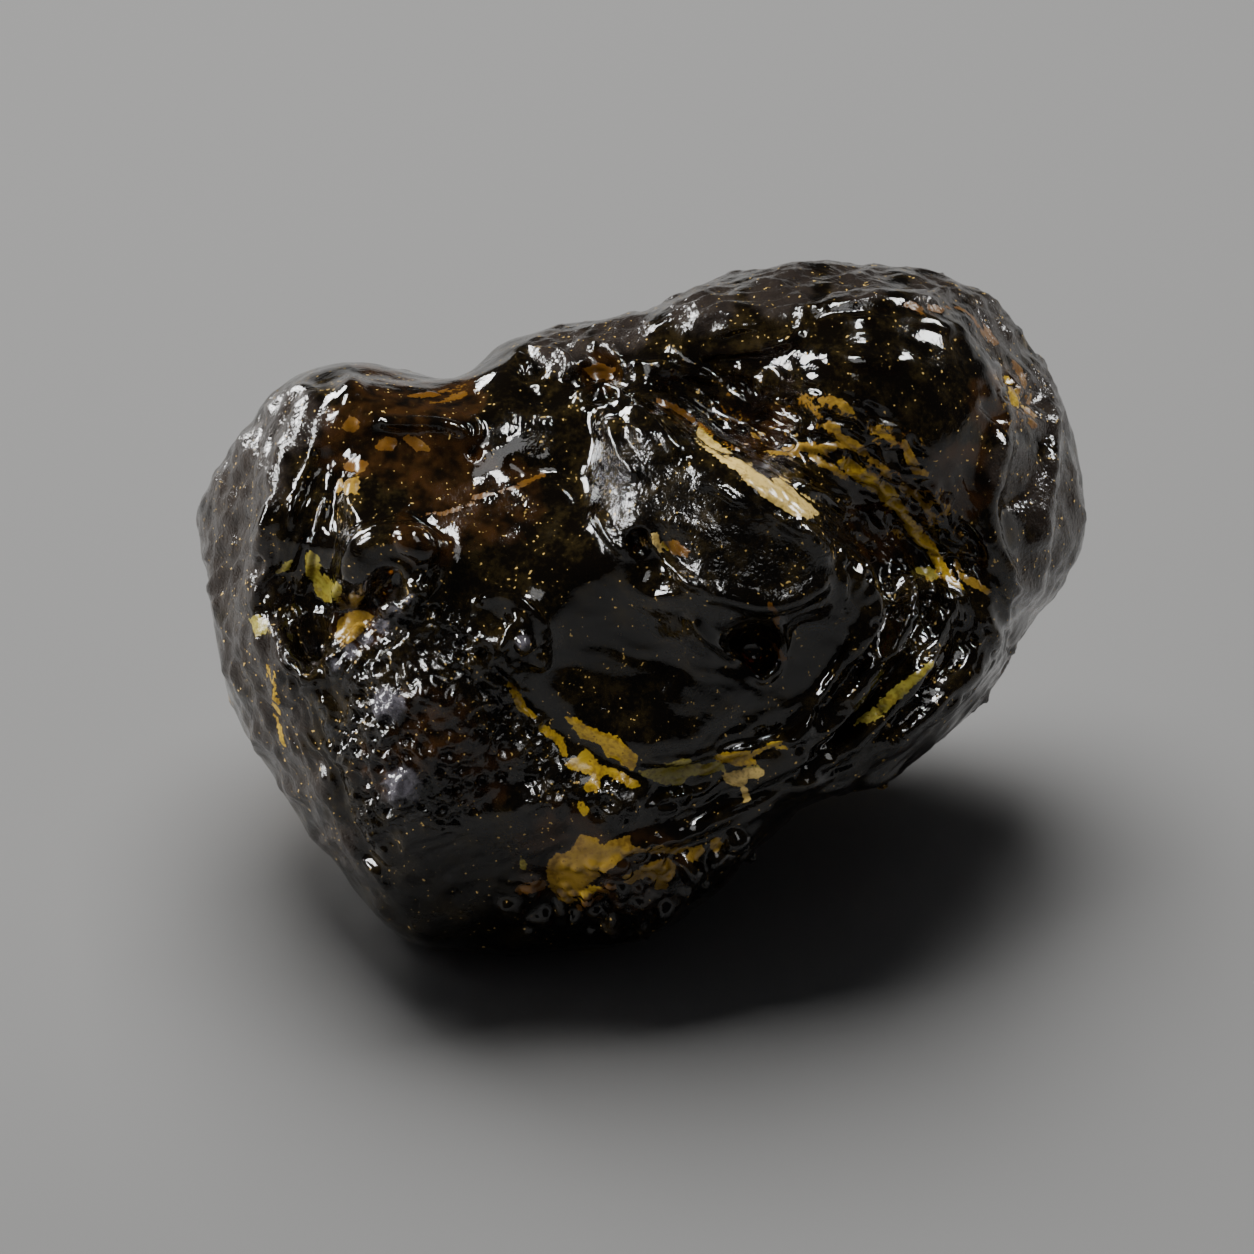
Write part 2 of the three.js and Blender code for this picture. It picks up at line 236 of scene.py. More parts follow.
RIDGES: dict[str, Ridge] = {
    "window lip": Ridge(((378, 421), (405, 423), (430, 424), (448, 427), (466, 433)), 0.6, 0.6),
    "lip end": Ridge(((470, 418), (477, 428), (476, 441)), 0.45, 0.5),
    "left flank band": Ridge(
        ((312, 385), (306, 400), (298, 430), (284, 470), (272, 520), (262, 552)), 1.1, 0.7),
    "left flank outer band": Ridge(((296, 392), (280, 420), (268, 452), (258, 490)), 0.7, 0.5),
    "left flank thread": Ridge(((318, 425), (312, 460), (300, 490), (290, 520)), 0.4, 0.35),
    "eyebrow arch": Ridge(
        ((354, 606), (353, 572), (360, 551), (378, 540), (400, 537), (420, 546), (434, 564)), 1.6, 0.9),
    "eyebrow strand": Ridge(((346, 574), (342, 605), (334, 632), (333, 655)), 0.4, 0.55),
    "bright crest": Ridge(
        ((326, 674), (346, 656), (372, 637), (398, 612), (414, 592), (424, 576)), 1.1, 1.1),
    "left hollow rim": Ridge(((276, 622), (283, 652), (299, 674), (322, 679)), 0.7, 0.6),
    "cup wall": Ridge(((514, 357), (526, 366), (532, 382)), 0.5, 0.6),
    "cup rim": Ridge(((590, 350), (607, 349), (622, 359)), 0.5, 0.6),
    "cup divide": Ridge(((556, 352), (568, 362), (566, 380)), 0.5, 0.5),
    "fan ledge": Ridge(((572, 402), (590, 393), (612, 391), (628, 398)), 0.6, 0.6),
    "fan foot": Ridge(((580, 408), (604, 410), (625, 402)), 0.5, 0.35),
    "brow line": Ridge(((628, 368), (655, 367), (685, 371), (716, 381)), 0.5, 0.6),
    "shoulder line": Ridge(
        ((650, 392), (668, 401), (690, 414), (703, 432), (722, 445), (745, 453)), 0.45, 0.55),
    "strip line": Ridge(((788, 482), (806, 491), (822, 500), (846, 513)), 0.4, 0.4),
    "strip outer line": Ridge(((812, 490), (832, 499), (850, 502)), 0.4, 0.35),
    "finger": Ridge(((610, 418), (616, 440), (628, 462), (640, 480)), 0.8, 0.6),
    "finger tip": Ridge(((598, 512), (610, 535), (625, 553)), 0.6, 0.6),
    "sugar ridge": Ridge(((699, 487), (708, 484), (720, 488), (732, 496), (742, 502)), 0.6, 0.55),
    "sugar lower ridge": Ridge(((774, 515), (790, 526), (804, 533), (815, 545), (824, 556)), 0.7, 0.55),
    "pit lip": Ridge(((650, 530), (663, 550), (676, 566), (692, 582), (702, 588)), 0.45, 0.6),
    "pit lip twin": Ridge(((667, 562), (678, 576), (694, 590)), 0.35, 0.4),
    "shoulder foot": Ridge(((702, 590), (735, 598), (768, 603), (800, 595), (828, 578)), 1.0, 0.6),
    "crown edge": Ridge(((796, 322), (828, 306), (870, 300), (925, 299), (952, 290)), 0.8, 0.6),
    "crown step": Ridge(((700, 352), (740, 350), (782, 344), (806, 330)), 0.7, 0.5),
    "dome brow": Ridge(((822, 354), (850, 360), (878, 361), (908, 364)), 0.9, 0.35),
    "lobe band": Ridge(
        ((1003, 430), (994, 465), (984, 505), (990, 545), (1006, 575), (1022, 602)), 1.2, 0.8),
    "lobe outer band": Ridge(
        ((1046, 395), (1048, 445), (1043, 500), (1036, 560), (1030, 602)), 1.1, 0.7),
    "lobe edge": Ridge(((1065, 380), (1076, 450), (1076, 520), (1066, 575)), 1.0, 0.4),
    "ring top": Ridge(((478, 603), (500, 597), (520, 604), (535, 618), (543, 632)), 0.5, 0.75),
    "ring side": Ridge(((514, 622), (506, 640), (500, 655)), 0.4, 0.4),
    "thin ring": Ridge(((318, 705), (329, 702), (333, 716), (326, 728)), 0.35, 0.4),
    "vein bank": Ridge(((468, 655), (480, 672), (500, 688), (520, 708), (542, 728)), 0.8, 0.5),
    "left foot fold": Ridge(((318, 770), (335, 815), (355, 850), (380, 885)), 0.9, 0.4),
    "oval rim": Ridge(
        ((690, 618), (706, 634), (722, 648), (736, 664), (752, 676), (768, 680)), 0.6, 0.6),
    "oval far rim": Ridge(((768, 680), (780, 662), (783, 640), (776, 615)), 0.5, 0.4),
    "scrap loop": Ridge(((648, 808), (658, 800), (672, 796)), 0.3, 0.4),
    "scrap lower loop": Ridge(((652, 809), (664, 811), (676, 808)), 0.3, 0.35),
    "shell rim": Ridge(
        ((580, 942), (640, 932), (670, 910), (688, 884), (736, 844), (768, 808)), 0.7, 0.4),
    "lower fold": Ridge(((640, 842), (690, 832), (730, 808), (775, 780), (820, 765)), 0.9, 0.6),
    "scoop edge": Ridge(((640, 762), (690, 757), (740, 747), (790, 737), (815, 722)), 0.5, 0.35),
    "near fold": Ridge(
        ((846, 548), (866, 590), (872, 612), (852, 652), (822, 696), (796, 732), (760, 750)), 1.0, 0.8),
    "middle fold": Ridge(
        ((888, 540), (902, 580), (906, 616), (884, 652), (846, 702), (812, 742), (770, 766),
        (720, 796)), 1.0, 0.8),
    "far fold": Ridge(
        ((946, 590), (940, 634), (905, 682), (868, 728), (826, 764), (776, 790), (720, 825)), 1.0, 0.7),
    "outer fold": Ridge(
        ((985, 610), (988, 650), (948, 696), (890, 740), (840, 775), (790, 800)), 1.1, 0.7),
    "end fold": Ridge(((1024, 606), (1000, 662), (950, 724), (896, 768), (850, 780)), 1.0, 0.4),
    "near groove": Ridge(((876, 556), (890, 600), (880, 634), (842, 684), (808, 728)), 0.8, -0.6),
    "middle groove": Ridge(((925, 590), (922, 630), (888, 676), (846, 722), (800, 758)), 0.8, -0.7),
    "far groove": Ridge(((965, 620), (955, 660), (912, 706), (866, 748), (812, 782)), 0.9, -0.7),
    "first thread": Ridge(((836, 548), (842, 575), (844, 600)), 0.35, 0.3),
    "second thread": Ridge(((880, 540), (886, 560), (896, 590)), 0.35, 0.35),
}

KNOBS: dict[str, Knob] = {
    "corner knob": Knob((352, 391), 1.3, 0.5),
    "lip pit": Knob((473, 453), 0.6, -0.6),
    "eyebrow brow": Knob((414, 544), 1.2, 0.5),
    "eyebrow hollow": Knob((388, 586), 1.6, -1.5),
    "eyebrow low hollow": Knob((370, 604), 1.1, -0.9),
    "left hollow": Knob((314, 640), 1.9, -1.7),
    "grey cup": Knob((530, 366), 1.4, -0.9),
    "brown cup": Knob((600, 370), 1.7, -1.0),
    "shoulder knob": Knob((652, 436), 2.1, 0.35),
    "knob pit": Knob((681, 459), 0.9, -0.5),
    "shoulder pit": Knob((638, 542), 1.1, -1.2),
    "rough lump": Knob((745, 370), 1.2, 0.5),
    "rough lump beside it": Knob((765, 382), 1.0, 0.5),
    "rough lump before it": Knob((724, 364), 0.9, 0.4),
    "lobe hollow": Knob((1012, 495), 1.6, -0.6),
    "ring centre": Knob((523, 642), 0.8, 0.8),
    "ring hollow": Knob((498, 622), 1.4, -0.9),
    "ring foot": Knob((540, 662), 0.8, 0.5),
    "wax lump": Knob((402, 788), 1.7, 0.7),
    "upper wax lump": Knob((392, 703), 1.4, 0.5),
    "right wax lump": Knob((427, 690), 1.2, 0.5),
    "middle wax lump": Knob((387, 736), 1.0, 0.45),
    "far wax lump": Knob((447, 796), 0.8, 0.5),
    "scrap": Knob((681, 796), 0.8, 0.6),
    "left scrap": Knob((365, 817), 0.8, 0.5),
    "low scrap": Knob((374, 835), 0.7, 0.5),
    "right scrap": Knob((440, 812), 0.6, 0.4),
    "oval hollow": Knob((752, 648), 1.8, -0.9),
    "crust nodule": Knob((616, 866), 1.0, 0.5),
    "crust hollow": Knob((600, 905), 1.0, -0.5),
    "left nodule": Knob((512, 908), 1.1, 0.6),
}

NODULES: Path = (
    (655, 862), (532, 890), (560, 905), (612, 922), (636, 906), (648, 898), (662, 907), (640, 918),
    (622, 890),
    (690, 870), (702, 882), (684, 862), (716, 858), (734, 838), (745, 852), (575, 918), (545, 915),
)
NODULE_RADIUS = 0.75
NODULE_HEIGHT = 0.6

STRANDS: dict[str, Strands] = {
    "right flow": Strands(
        ((900, 480), (955, 570), (975, 625), (935, 685), (865, 740), (780, 780),
        (690, 825)), 5.5, 0.9, 7.0, 0.45),
    "shoulder flow": Strands(((640, 385), (700, 435), (830, 515), (960, 595)), 3.5, 0.65, 5.0, 0.28),
    "lower face": Strands(((380, 880), (430, 845), (560, 790)), 5.0, 0.7, 6.0, 0.10),
    "left flank": Strands(
        ((310, 385), (270, 520), (245, 620), (275, 740), (335, 850), (400, 930)), 5.5, 0.7, 2.6, 0.40),
    "crown": Strands(
        ((640, 330), (760, 300), (900, 285), (1000, 330), (1060, 430),
        (1070, 560)), 3.5, 0.8, 4.0, 0.35),
    "crest": Strands(((326, 674), (372, 637), (398, 612), (424, 576)), 1.6, 0.5, 1.6, 0.5),
    "window": Strands(((340, 500), (440, 500), (560, 465)), 5.0, 1.4, 9.0, 0.10),
    "scoop": Strands(((560, 640), (680, 660), (790, 700)), 5.5, 1.3, 6.0, 0.12),
}

FLATS: dict[str, Flat] = {
    "grey window": Flat(((500, 435, 32), (535, 440, 36), (570, 440, 32)), 0.8),
    "left window": Flat(
        ((390, 470, 45), (370, 500, 35), (440, 495, 45), (490, 505, 45), (545, 510, 40)), 0.75),
    "lower face": Flat(
        ((410, 880, 45), (460, 860, 50), (510, 840, 45), (540, 815, 30), (440, 910, 35)), 0.8),
    "scoop face": Flat(((690, 700, 28), (725, 695, 28)), 0.7),
    "satin face": Flat(((815, 650, 34), (790, 690, 38), (765, 720, 34)), 0.8),
}

ZONES: dict[Zone, tuple[Spot, ...]] = {
    Zone.RIND: (
        (235, 470, 60), (225, 560, 60), (250, 650, 45), (275, 720, 40), (300, 780, 35), (330, 850, 35),
        (290, 420, 40), (560, 345, 35), (620, 325, 35), (700, 300, 40), (780, 285, 40), (860, 275, 35),
        (940, 280, 35), (1000, 320, 40), (1050, 400, 45), (1060, 500, 50), (1050, 570, 45),
        (1010, 470, 30),
    ),
    Zone.PITTED: (
        (390, 690, 45), (370, 740, 45), (430, 730, 50), (480, 760, 45), (440, 790, 45), (380, 800, 35),
        (520, 740, 35), (440, 640, 40), (395, 610, 30), (350, 655, 28), (480, 660, 30), (500, 690, 30),
        (550, 790, 30), (612, 800, 28),
    ),
    Zone.SUGAR: (
        (640, 470, 45), (640, 510, 45), (690, 500, 40), (740, 540, 50), (790, 560, 45), (710, 560, 40),
        (620, 540, 25),
    ),
    Zone.FLOW: (
        (880, 600, 50), (930, 610, 50), (860, 690, 40), (900, 680, 45), (820, 740, 40), (970, 640, 40),
        (870, 540, 40),
    ),
    Zone.NET: (
        (770, 420, 30), (810, 425, 40), (850, 435, 45), (890, 465, 45), (920, 510, 40), (950, 555, 35),
        (1010, 400, 35), (730, 400, 28),
    ),
    Zone.BEADS: ((580, 890, 40), (640, 880, 45), (690, 865, 40), (530, 905, 35), (600, 915, 30),
    (725, 850, 25)),
    # Spots where grey sheen and highlights are painted: wax lumps, ring knob and crest.
    Zone.PAINTED_SHEEN: (
        (402, 785, 22), (523, 642, 9), (388, 704, 20), (335, 664, 8), (350, 652, 9), (366, 640, 9),
        (382, 626, 9),
        (396, 612, 8), (408, 598, 7),
    ),
    Zone.VEIL: (
        (350, 440, 50), (400, 440, 60), (450, 470, 60), (500, 500, 60), (430, 530, 50), (380, 390, 50),
        (450, 395, 45), (600, 372, 30), (1000, 400, 45), (960, 480, 50), (760, 430, 40), (360, 620, 40),
        (430, 730, 60), (480, 770, 50), (390, 770, 45), (560, 850, 60), (640, 870, 60), (890, 520, 60),
    ),
}

SKIN_GRAINS: tuple[Grain, ...] = (Grain(4.0, 0.06), Grain(1.5, 0.045), Grain(0.7, 0.02))

ZONE_GRAINS: dict[Zone, tuple[Grain, ...]] = {
    Zone.RIND: (Grain(0.9, 0.20), Grain(2.0, 0.26)),
    Zone.PITTED: (Grain(1.7, 0.30), Grain(0.7, 0.22)),
    Zone.SUGAR: (Grain(0.6, 0.07), Grain(1.5, 0.12)),
    Zone.FLOW: (Grain(0.9, 0.16),),
}

ZONE_DIMPLES: dict[Zone, Dimples] = {
    Zone.PITTED: Dimples(1.15, 0.45, 0.10, -0.4, wall_height=0.22),
    Zone.FLOW: Dimples(1.4, 0.38, 0.10, -0.4),
    Zone.BEADS: Dimples(1.2, 0.55, 0.05, 0.4),
}

# Where the relief needs the finest triangles.
RICH_SPOTS: tuple[Spot, ...] = (
    (390, 590, 80), (370, 650, 60), (430, 720, 100), (420, 790, 70), (510, 640, 60), (560, 740, 60),
    (640, 770, 60),
    (730, 770, 60), (560, 880, 60), (640, 870, 70), (710, 850, 50), (690, 480, 90), (650, 560, 60),
    (760, 560, 70),
    (800, 470, 70), (870, 470, 70), (920, 540, 70), (900, 630, 80), (950, 640, 70), (850, 720, 70),
    (580, 380, 60),
    (420, 420, 60), (480, 440, 40), (310, 560, 60), (320, 650, 50), (340, 730, 50), (760, 380, 60),
    (750, 650, 60),
)

PATCHES: dict[str, Patch] = {
    "cream strip": Patch((
        (690, 430), (700, 427), (710, 437), (722, 447), (735, 453), (745, 456), (756, 452),
        (760, 456), (758, 463),
        (764, 470), (770, 476), (779, 467), (791, 475), (794, 481), (789, 485), (806, 495),
        (825, 509), (835, 516),
        (831, 520), (808, 519), (788, 513), (768, 501), (755, 491), (743, 481), (738, 472),
        (722, 462), (703, 448),
        (693, 440)), Tone.CREAM),
    "strip start": Patch((
        (655, 397), (675, 404), (700, 420), (720, 440), (746, 450), (735, 452), (712, 437),
        (692, 424), (670, 414),
        (656, 407)), Tone.BROWN),
    "strip link": Patch((
        (757, 451), (775, 451), (790, 445), (800, 442), (820, 444), (836, 442), (840, 449),
        (822, 453), (799, 452),
        (797, 457), (784, 456), (768, 453)), Tone.OCHRE),
    "main vein": Patch((
        (833, 461), (848, 455), (856, 463), (871, 475), (886, 481), (896, 491), (904, 505),
        (911, 517), (923, 530),
        (933, 543), (941, 557), (951, 574), (962, 585), (964, 590), (954, 587), (944, 577),
        (934, 566), (925, 551),
        (914, 545), (911, 539), (900, 520), (892, 512), (884, 503), (874, 493), (862, 486), (850, 476),
        (838, 467)), Tone.GOLD),
    "net upper": Patch((
        (819, 425), (828, 421), (838, 424), (842, 434), (852, 439), (864, 446), (870, 455),
        (880, 462), (890, 470),
        (892, 478), (884, 478), (876, 467), (866, 458), (852, 450), (840, 447),
        (833, 434)), Tone.OCHRE),
    "vein bend": Patch((
        (537, 722), (548, 727), (560, 735), (566, 745), (567, 758), (562, 758), (558, 747), (551, 740),
        (540, 732)), Tone.GOLD),
    "vein upper piece": Patch((
        (564, 717), (575, 717), (586, 724), (600, 730), (615, 735), (626, 745), (638, 756),
        (636, 766), (632, 771),
        (622, 766), (617, 759), (607, 757), (600, 745), (590, 741), (580, 737), (572, 726)), Tone.GOLD),
    "vein lower piece": Patch((
        (561, 763), (575, 758), (585, 749), (593, 756), (601, 765), (611, 768), (622, 772),
        (636, 780), (641, 786),
        (629, 788), (615, 780), (605, 773), (600, 779), (600, 786), (596, 793), (588, 793),
        (582, 788), (590, 780),
        (592, 775), (580, 772), (568, 768)), Tone.GOLD),
    "vein grey piece": Patch((
        (636, 771), (650, 769), (665, 765), (680, 759), (691, 759), (700, 764), (720, 762),
        (726, 769), (706, 775),
        (691, 776), (681, 784), (665, 786), (654, 781), (644, 777)), Tone.OLIVE),
    "vein bright end": Patch((
        (711, 756), (725, 752), (748, 750), (753, 757), (757, 764), (740, 767), (725, 764)), Tone.GOLD),
    "vein pale end": Patch((
        (721, 775), (735, 770), (746, 767), (763, 768), (764, 776), (748, 779), (746, 786), (734, 786),
        (725, 782)), Tone.CREAM),
    "low crust": Patch((
        (545, 872), (547, 861), (555, 853), (568, 852), (576, 840), (580, 834), (596, 838),
        (600, 847), (611, 840),
        (630, 834), (631, 845), (645, 848), (660, 845), (680, 848), (693, 845), (681, 853),
        (655, 854), (640, 853),
        (626, 856), (611, 868), (600, 876), (591, 881), (581, 896), (570, 906), (559, 900),
        (551, 889)), Tone.OCHRE),
    "low crust arm": Patch((
        (619, 879), (640, 868), (655, 860), (668, 857), (676, 865), (673, 878), (666, 890),
        (655, 889), (651, 876),
        (640, 879), (628, 885)), Tone.OCHRE),
    "low crust gold": Patch(((574, 893), (590, 885), (602, 887), (592, 896), (578, 901)), Tone.GOLD),
    "low crust right bit": Patch(
        ((684, 862), (690, 850), (701, 844), (704, 850), (696, 862)), Tone.OCHRE),
    "low crust last bit": Patch(
        ((709, 842), (716, 836), (723, 844), (716, 853), (710, 850)), Tone.OCHRE),
    "olive patch": Patch((
        (305, 553), (312, 549), (319, 558), (321, 572), (329, 575), (338, 572), (341, 583),
        (346, 590), (338, 603),
        (325, 603), (316, 595), (312, 582), (305, 575)), Tone.OLIVE),
    "upper olive": Patch(((272, 573), (284, 563), (293, 559), (289, 569), (280, 574)), Tone.OLIVE),
    "low olive": Patch(((248, 618), (258, 613), (269, 621), (266, 634), (254, 637)), Tone.OLIVE),
    "top blot": Patch(((374, 378), (382, 374), (396, 378), (388, 385), (378, 383)), Tone.OCHRE),
    "lip blot": Patch(((341, 424), (350, 415), (361, 422), (356, 432), (345, 432)), Tone.BROWN),
    "window blot": Patch(((374, 446), (385, 436), (399, 439), (393, 451), (378, 450)), Tone.BROWN),
    "right window blot": Patch(
        ((401, 438), (410, 434), (425, 444), (432, 451), (414, 451)), Tone.BROWN),
    "left window blot": Patch(((343, 466), (352, 457), (369, 461), (363, 473), (348, 472)), Tone.BROWN),
    "low window blot": Patch(
        ((336, 478), (359, 477), (359, 494), (352, 492), (345, 495), (335, 495)), Tone.OCHRE),
    "hollow crust": Patch((
        (338, 620), (346, 612), (362, 610), (374, 616), (366, 628), (352, 640), (340, 648),
        (335, 638)), Tone.OCHRE),
    "lobe crust": Patch((
        (998, 378), (1008, 376), (1016, 392), (1028, 402), (1030, 412), (1016, 410),
        (1004, 398)), Tone.GOLD),
    "pit lip crust": Patch(((650, 532), (657, 533), (664, 550), (658, 552), (652, 542)), Tone.CREAM),
    "pit stain": Patch(((664, 542), (676, 540), (690, 550), (688, 558), (672, 554)), Tone.BROWN),
    "cup stain": Patch(((582, 368), (598, 362), (616, 368), (612, 380), (592, 380)), Tone.BROWN),
}

THREADS: dict[str, Thread] = {
    "upper net strand": Thread(
        ((820, 400, 3), (838, 402, 4), (846, 408, 4), (852, 412, 2)), Tone.OCHRE),
    "right net strand": Thread(((868, 428, 3), (880, 432, 4), (893, 443, 3)), Tone.OCHRE),
    "net loop": Thread(((904, 442, 3), (909, 456, 5), (916, 470, 5), (926, 474, 3)), Tone.OCHRE),
    "side vein": Thread(((902, 486, 3), (918, 497, 4), (928, 510, 3), (938, 522, 2)), Tone.OCHRE),
    "inner vein": Thread(((812, 456, 4), (828, 466, 3), (846, 478, 3)), Tone.OCHRE),
    "vein tail": Thread(((955, 562, 3), (962, 576, 3), (974, 583, 4), (988, 592, 3)), Tone.OCHRE),
    "vein fleck": Thread(((918, 571, 4), (928, 573, 6), (934, 576, 4)), Tone.OLIVE),
    "lobe vein": Thread(
        ((905, 304, 3), (932, 311, 6), (960, 309, 5), (978, 327, 6), (996, 342, 4)), Tone.BROWN),
    "lobe brown": Thread(((1010, 350, 4), (1018, 374, 5), (1024, 400, 5), (1034, 428, 4)), Tone.BROWN),
    "left streak": Thread(
        ((268, 664, 2), (271, 678, 5), (274, 690, 2), (275, 704, 6), (279, 722, 3),
        (284, 744, 4)), Tone.GOLD),
    "vein thread": Thread(((508, 684, 2), (516, 695, 4), (521, 706, 4), (533, 716, 3)), Tone.GOLD),
    "vein last thread": Thread(((753, 753, 3), (765, 748, 2), (775, 744, 3), (786, 748, 2)), Tone.GOLD),
    "vein dot": Thread(((744, 791, 4), (746, 799, 4)), Tone.CREAM),
    "vein low dot": Thread(((580, 804, 4), (585, 812, 4)), Tone.GOLD),
    "veil thread": Thread(
        ((410, 516, 1), (432, 514, 2), (448, 512, 2), (466, 505, 2), (478, 497, 4)), Tone.BROWN),
    "veil second thread": Thread(
        ((478, 496, 2), (500, 493, 2), (522, 484, 3), (545, 474, 2)), Tone.BROWN),
    "veil drop": Thread(((518, 488, 1), (524, 505, 2), (527, 526, 1)), Tone.OCHRE),
    "top streak": Thread(((408, 397, 3), (425, 394, 5), (445, 390, 5), (464, 384, 3)), Tone.BROWN),
    "top lower streak": Thread(((428, 403, 3), (446, 401, 4), (464, 394, 3)), Tone.BROWN),
    "flow streak": Thread(((932, 664, 3), (905, 686, 6), (876, 712, 6), (858, 722, 3)), Tone.OLIVE),
    "oval stain": Thread(((768, 604, 3), (776, 616, 4), (774, 640, 3), (782, 658, 4)), Tone.BROWN),
    "low left fleck": Thread(((521, 858, 2), (523, 866, 4)), Tone.OLIVE),
    "nodule stain": Thread(((520, 890, 5), (540, 886, 6)), Tone.BROWN),
    "nodule amber": Thread(((580, 906, 4), (600, 893, 6), (612, 888, 4)), Tone.BROWN),
}


def smooth_step(values: np.ndarray, low: float, high: float) -> np.ndarray:
    """Eases from 0 at low to 1 at high, or the other way round where low is the higher."""
    share = np.clip((values - low) / (high - low), 0.0, 1.0)
    return share * share * (3.0 - 2.0 * share)


def rounded_path(path: tuple[tuple[float, ...], ...], steps: int = 5) -> np.ndarray:
    """Rounds a path of given points into a smooth run of closer points.

    Args:
        path: The picked points.
        steps: How many points are made for each stretch.

    Returns:
        One row for each point, with as many numbers as the picked points have.
    """
    points = np.array(path, float)
    if len(points) < 3:
        return np.linspace(points[0], points[-1], steps + 1)
    ends = np.vstack((2 * points[0] - points[1], points, 2 * points[-1] - points[-2]))
    shares = np.linspace(0, 1, steps, endpoint=False)[:, None]
    runs = []
    for before, start, end, after in zip(ends, ends[1:], ends[2:], ends[3:]):
        bend = 2 * before - 5 * start + 4 * end - after
        twist = 3 * (start - end) + after - before
        runs.append(start + 0.5 * shares * (end - before + shares * (bend + shares * twist)))
    return np.vstack((*runs, points[-1:]))


class Skin:
    """The nugget's fine mesh while it is worked: vertices, normals and where the picture shows them."""

    def __init__(self, mesh: bpy.types.Mesh, sight: Sight) -> None:
        """Reads the mesh.

        Args:
            mesh: A closed mesh, in metres.
            sight: The viewpoint that the features were picked from.
        """
        self.mesh = mesh
        self.sight = sight
        self.places = self._read("vertices", "co")
        self.count = len(self.places)
        self.aim = sight.aim(self.places)
        self.floor_share = smooth_step(self.places[:, 2] / MM, 0.05, 2.0)
        self.refresh()

    def _read(self, rows: str, name: str) -> np.ndarray:
        """Reads one vector for every vertex."""
        values = np.empty(len(self.mesh.vertices) * 3, np.float32)
        getattr(self.mesh, rows).foreach_get(name, values)
        return values.reshape(-1, 3).astype(float)

    def refresh(self) -> None:
        """Works out normals, picture points and how far each vertex faces the eye."""
        self.mesh.vertices.foreach_set("co", self.places.astype(np.float32).ravel())
        self.mesh.update()
        self.normals = self._read("vertex_normals", "vector")
        self.points = self.sight.picture_points(self.places, self.aim)
        towards = np.array(self.sight.axes()[2])
        self.facing = self.normals @ towards
        self.front = smooth_step(self.facing, -0.05, 0.2)
        self.behind = smooth_step(self.facing, -0.1, -0.5)

    def raise_by(self, heights: np.ndarray) -> None:
        """Moves every vertex along its normal, less near the floor.

        Args:
            heights: Millimetres for each vertex.
        """
        self.places += self.normals * (heights * self.floor_share * MM)[:, None]
        self.refresh()

    def beside(self, path: tuple[tuple[float, ...], ...], reach: float) -> tuple[np.ndarray, ...]:
        """Measures how each vertex is seen beside a path.

        Args:
            path: Picture points, with half a width where they have a third number.
            reach: Millimetres beyond which a vertex counts as far away.

        Returns:
            Signed millimetres beside the path, the share along it, and half its width there in millimetres.
        """
        line = rounded_path(path)
        scale = self.sight.mm_per_point
        margin = reach / scale
        low, high = line[:, :2].min(axis=0) - margin, line[:, :2].max(axis=0) + margin
        near = np.flatnonzero(np.all((self.points > low) & (self.points < high), axis=1))
        spots = self.points[near]
        gap, along, width = np.full(len(near), np.inf), np.zeros(len(near)), np.zeros(len(near))
        for i, (start, end) in enumerate(zip(line, line[1:])):
            stretch = (end - start)[:2]
            away = spots - start[:2]
            share = np.clip(away @ stretch / max(stretch @ stretch, 1e-9), 0.0, 1.0)
            across = np.linalg.norm(away - share[:, None] * stretch, axis=1)
            closer = across < np.abs(gap)
            side = np.where(away[:, 0] * stretch[1] > away[:, 1] * stretch[0], 1.0, -1.0)
            gap[closer] = (across * side)[closer]
            along[closer] = (i + share[closer]) / (len(line) - 1)
            if line.shape[1] > 2:
                width[closer] = (start[2] + share * (end[2] - start[2]))[closer]
        results = np.full(self.count, FAR), np.zeros(self.count), np.zeros(self.count)
        for result, values in zip(results, (gap * scale, along, width * scale)):
            result[near] = values
        return results

    def depth_inside(self, outline: Path) -> np.ndarray:
        """Measures how far inside a closed outline each vertex is seen.

        Args:
            outline: Picture points.

        Returns:
            Millimetres from the edge, negative outside.
        """
        corners = np.array(outline, float)
        margin = 1.5 / self.sight.mm_per_point
        low, high = corners.min(axis=0) - margin, corners.max(axis=0) + margin
        near = np.flatnonzero(np.all((self.points > low) & (self.points < high), axis=1))
        spots = self.points[near]
        gap, within = np.full(len(near), np.inf), np.zeros(len(near), bool)
        for start, end in zip(corners, np.roll(corners, -1, axis=0)):
            stretch = end - start
            share = np.clip((spots - start) @ stretch / (stretch @ stretch), 0.0, 1.0)
            gap = np.minimum(gap, np.linalg.norm(spots - start - share[:, None] * stretch, axis=1))
            spans = (start[1] > spots[:, 1]) != (end[1] > spots[:, 1])
            crossing = start[0] + (spots[:, 1] - start[1]) * stretch[0] / (stretch[1] or 1.0)
            within ^= spans & (spots[:, 0] < crossing)
        depth = np.full(self.count, -FAR)
        depth[near] = np.where(within, gap, -gap) * self.sight.mm_per_point
        return depth

    def spot_share(self, spots: tuple[Spot, ...]) -> np.ndarray:
        """Returns how far each vertex on the front lies inside any of the spots, from 0 to 1."""
        share = np.zeros(self.count)
        for x, y, radius in spots:
            gap = np.hypot(self.points[:, 0] - x, self.points[:, 1] - y)
            share = np.maximum(share, smooth_step(gap, 1.15 * radius, 0.6 * radius))
        return share * self.front

    def grain(self, size: float, where: np.ndarray | None = None) -> np.ndarray:
        """Makes soft random heights.

        Args:
            size: Millimetres from one swell to the next.
            where: Only vertices with a share above zero are worked out.

        Returns:
            About -1 to 1 for each vertex.
        """
        return self.sample(self.places / (size * MM), noise.noise, where)

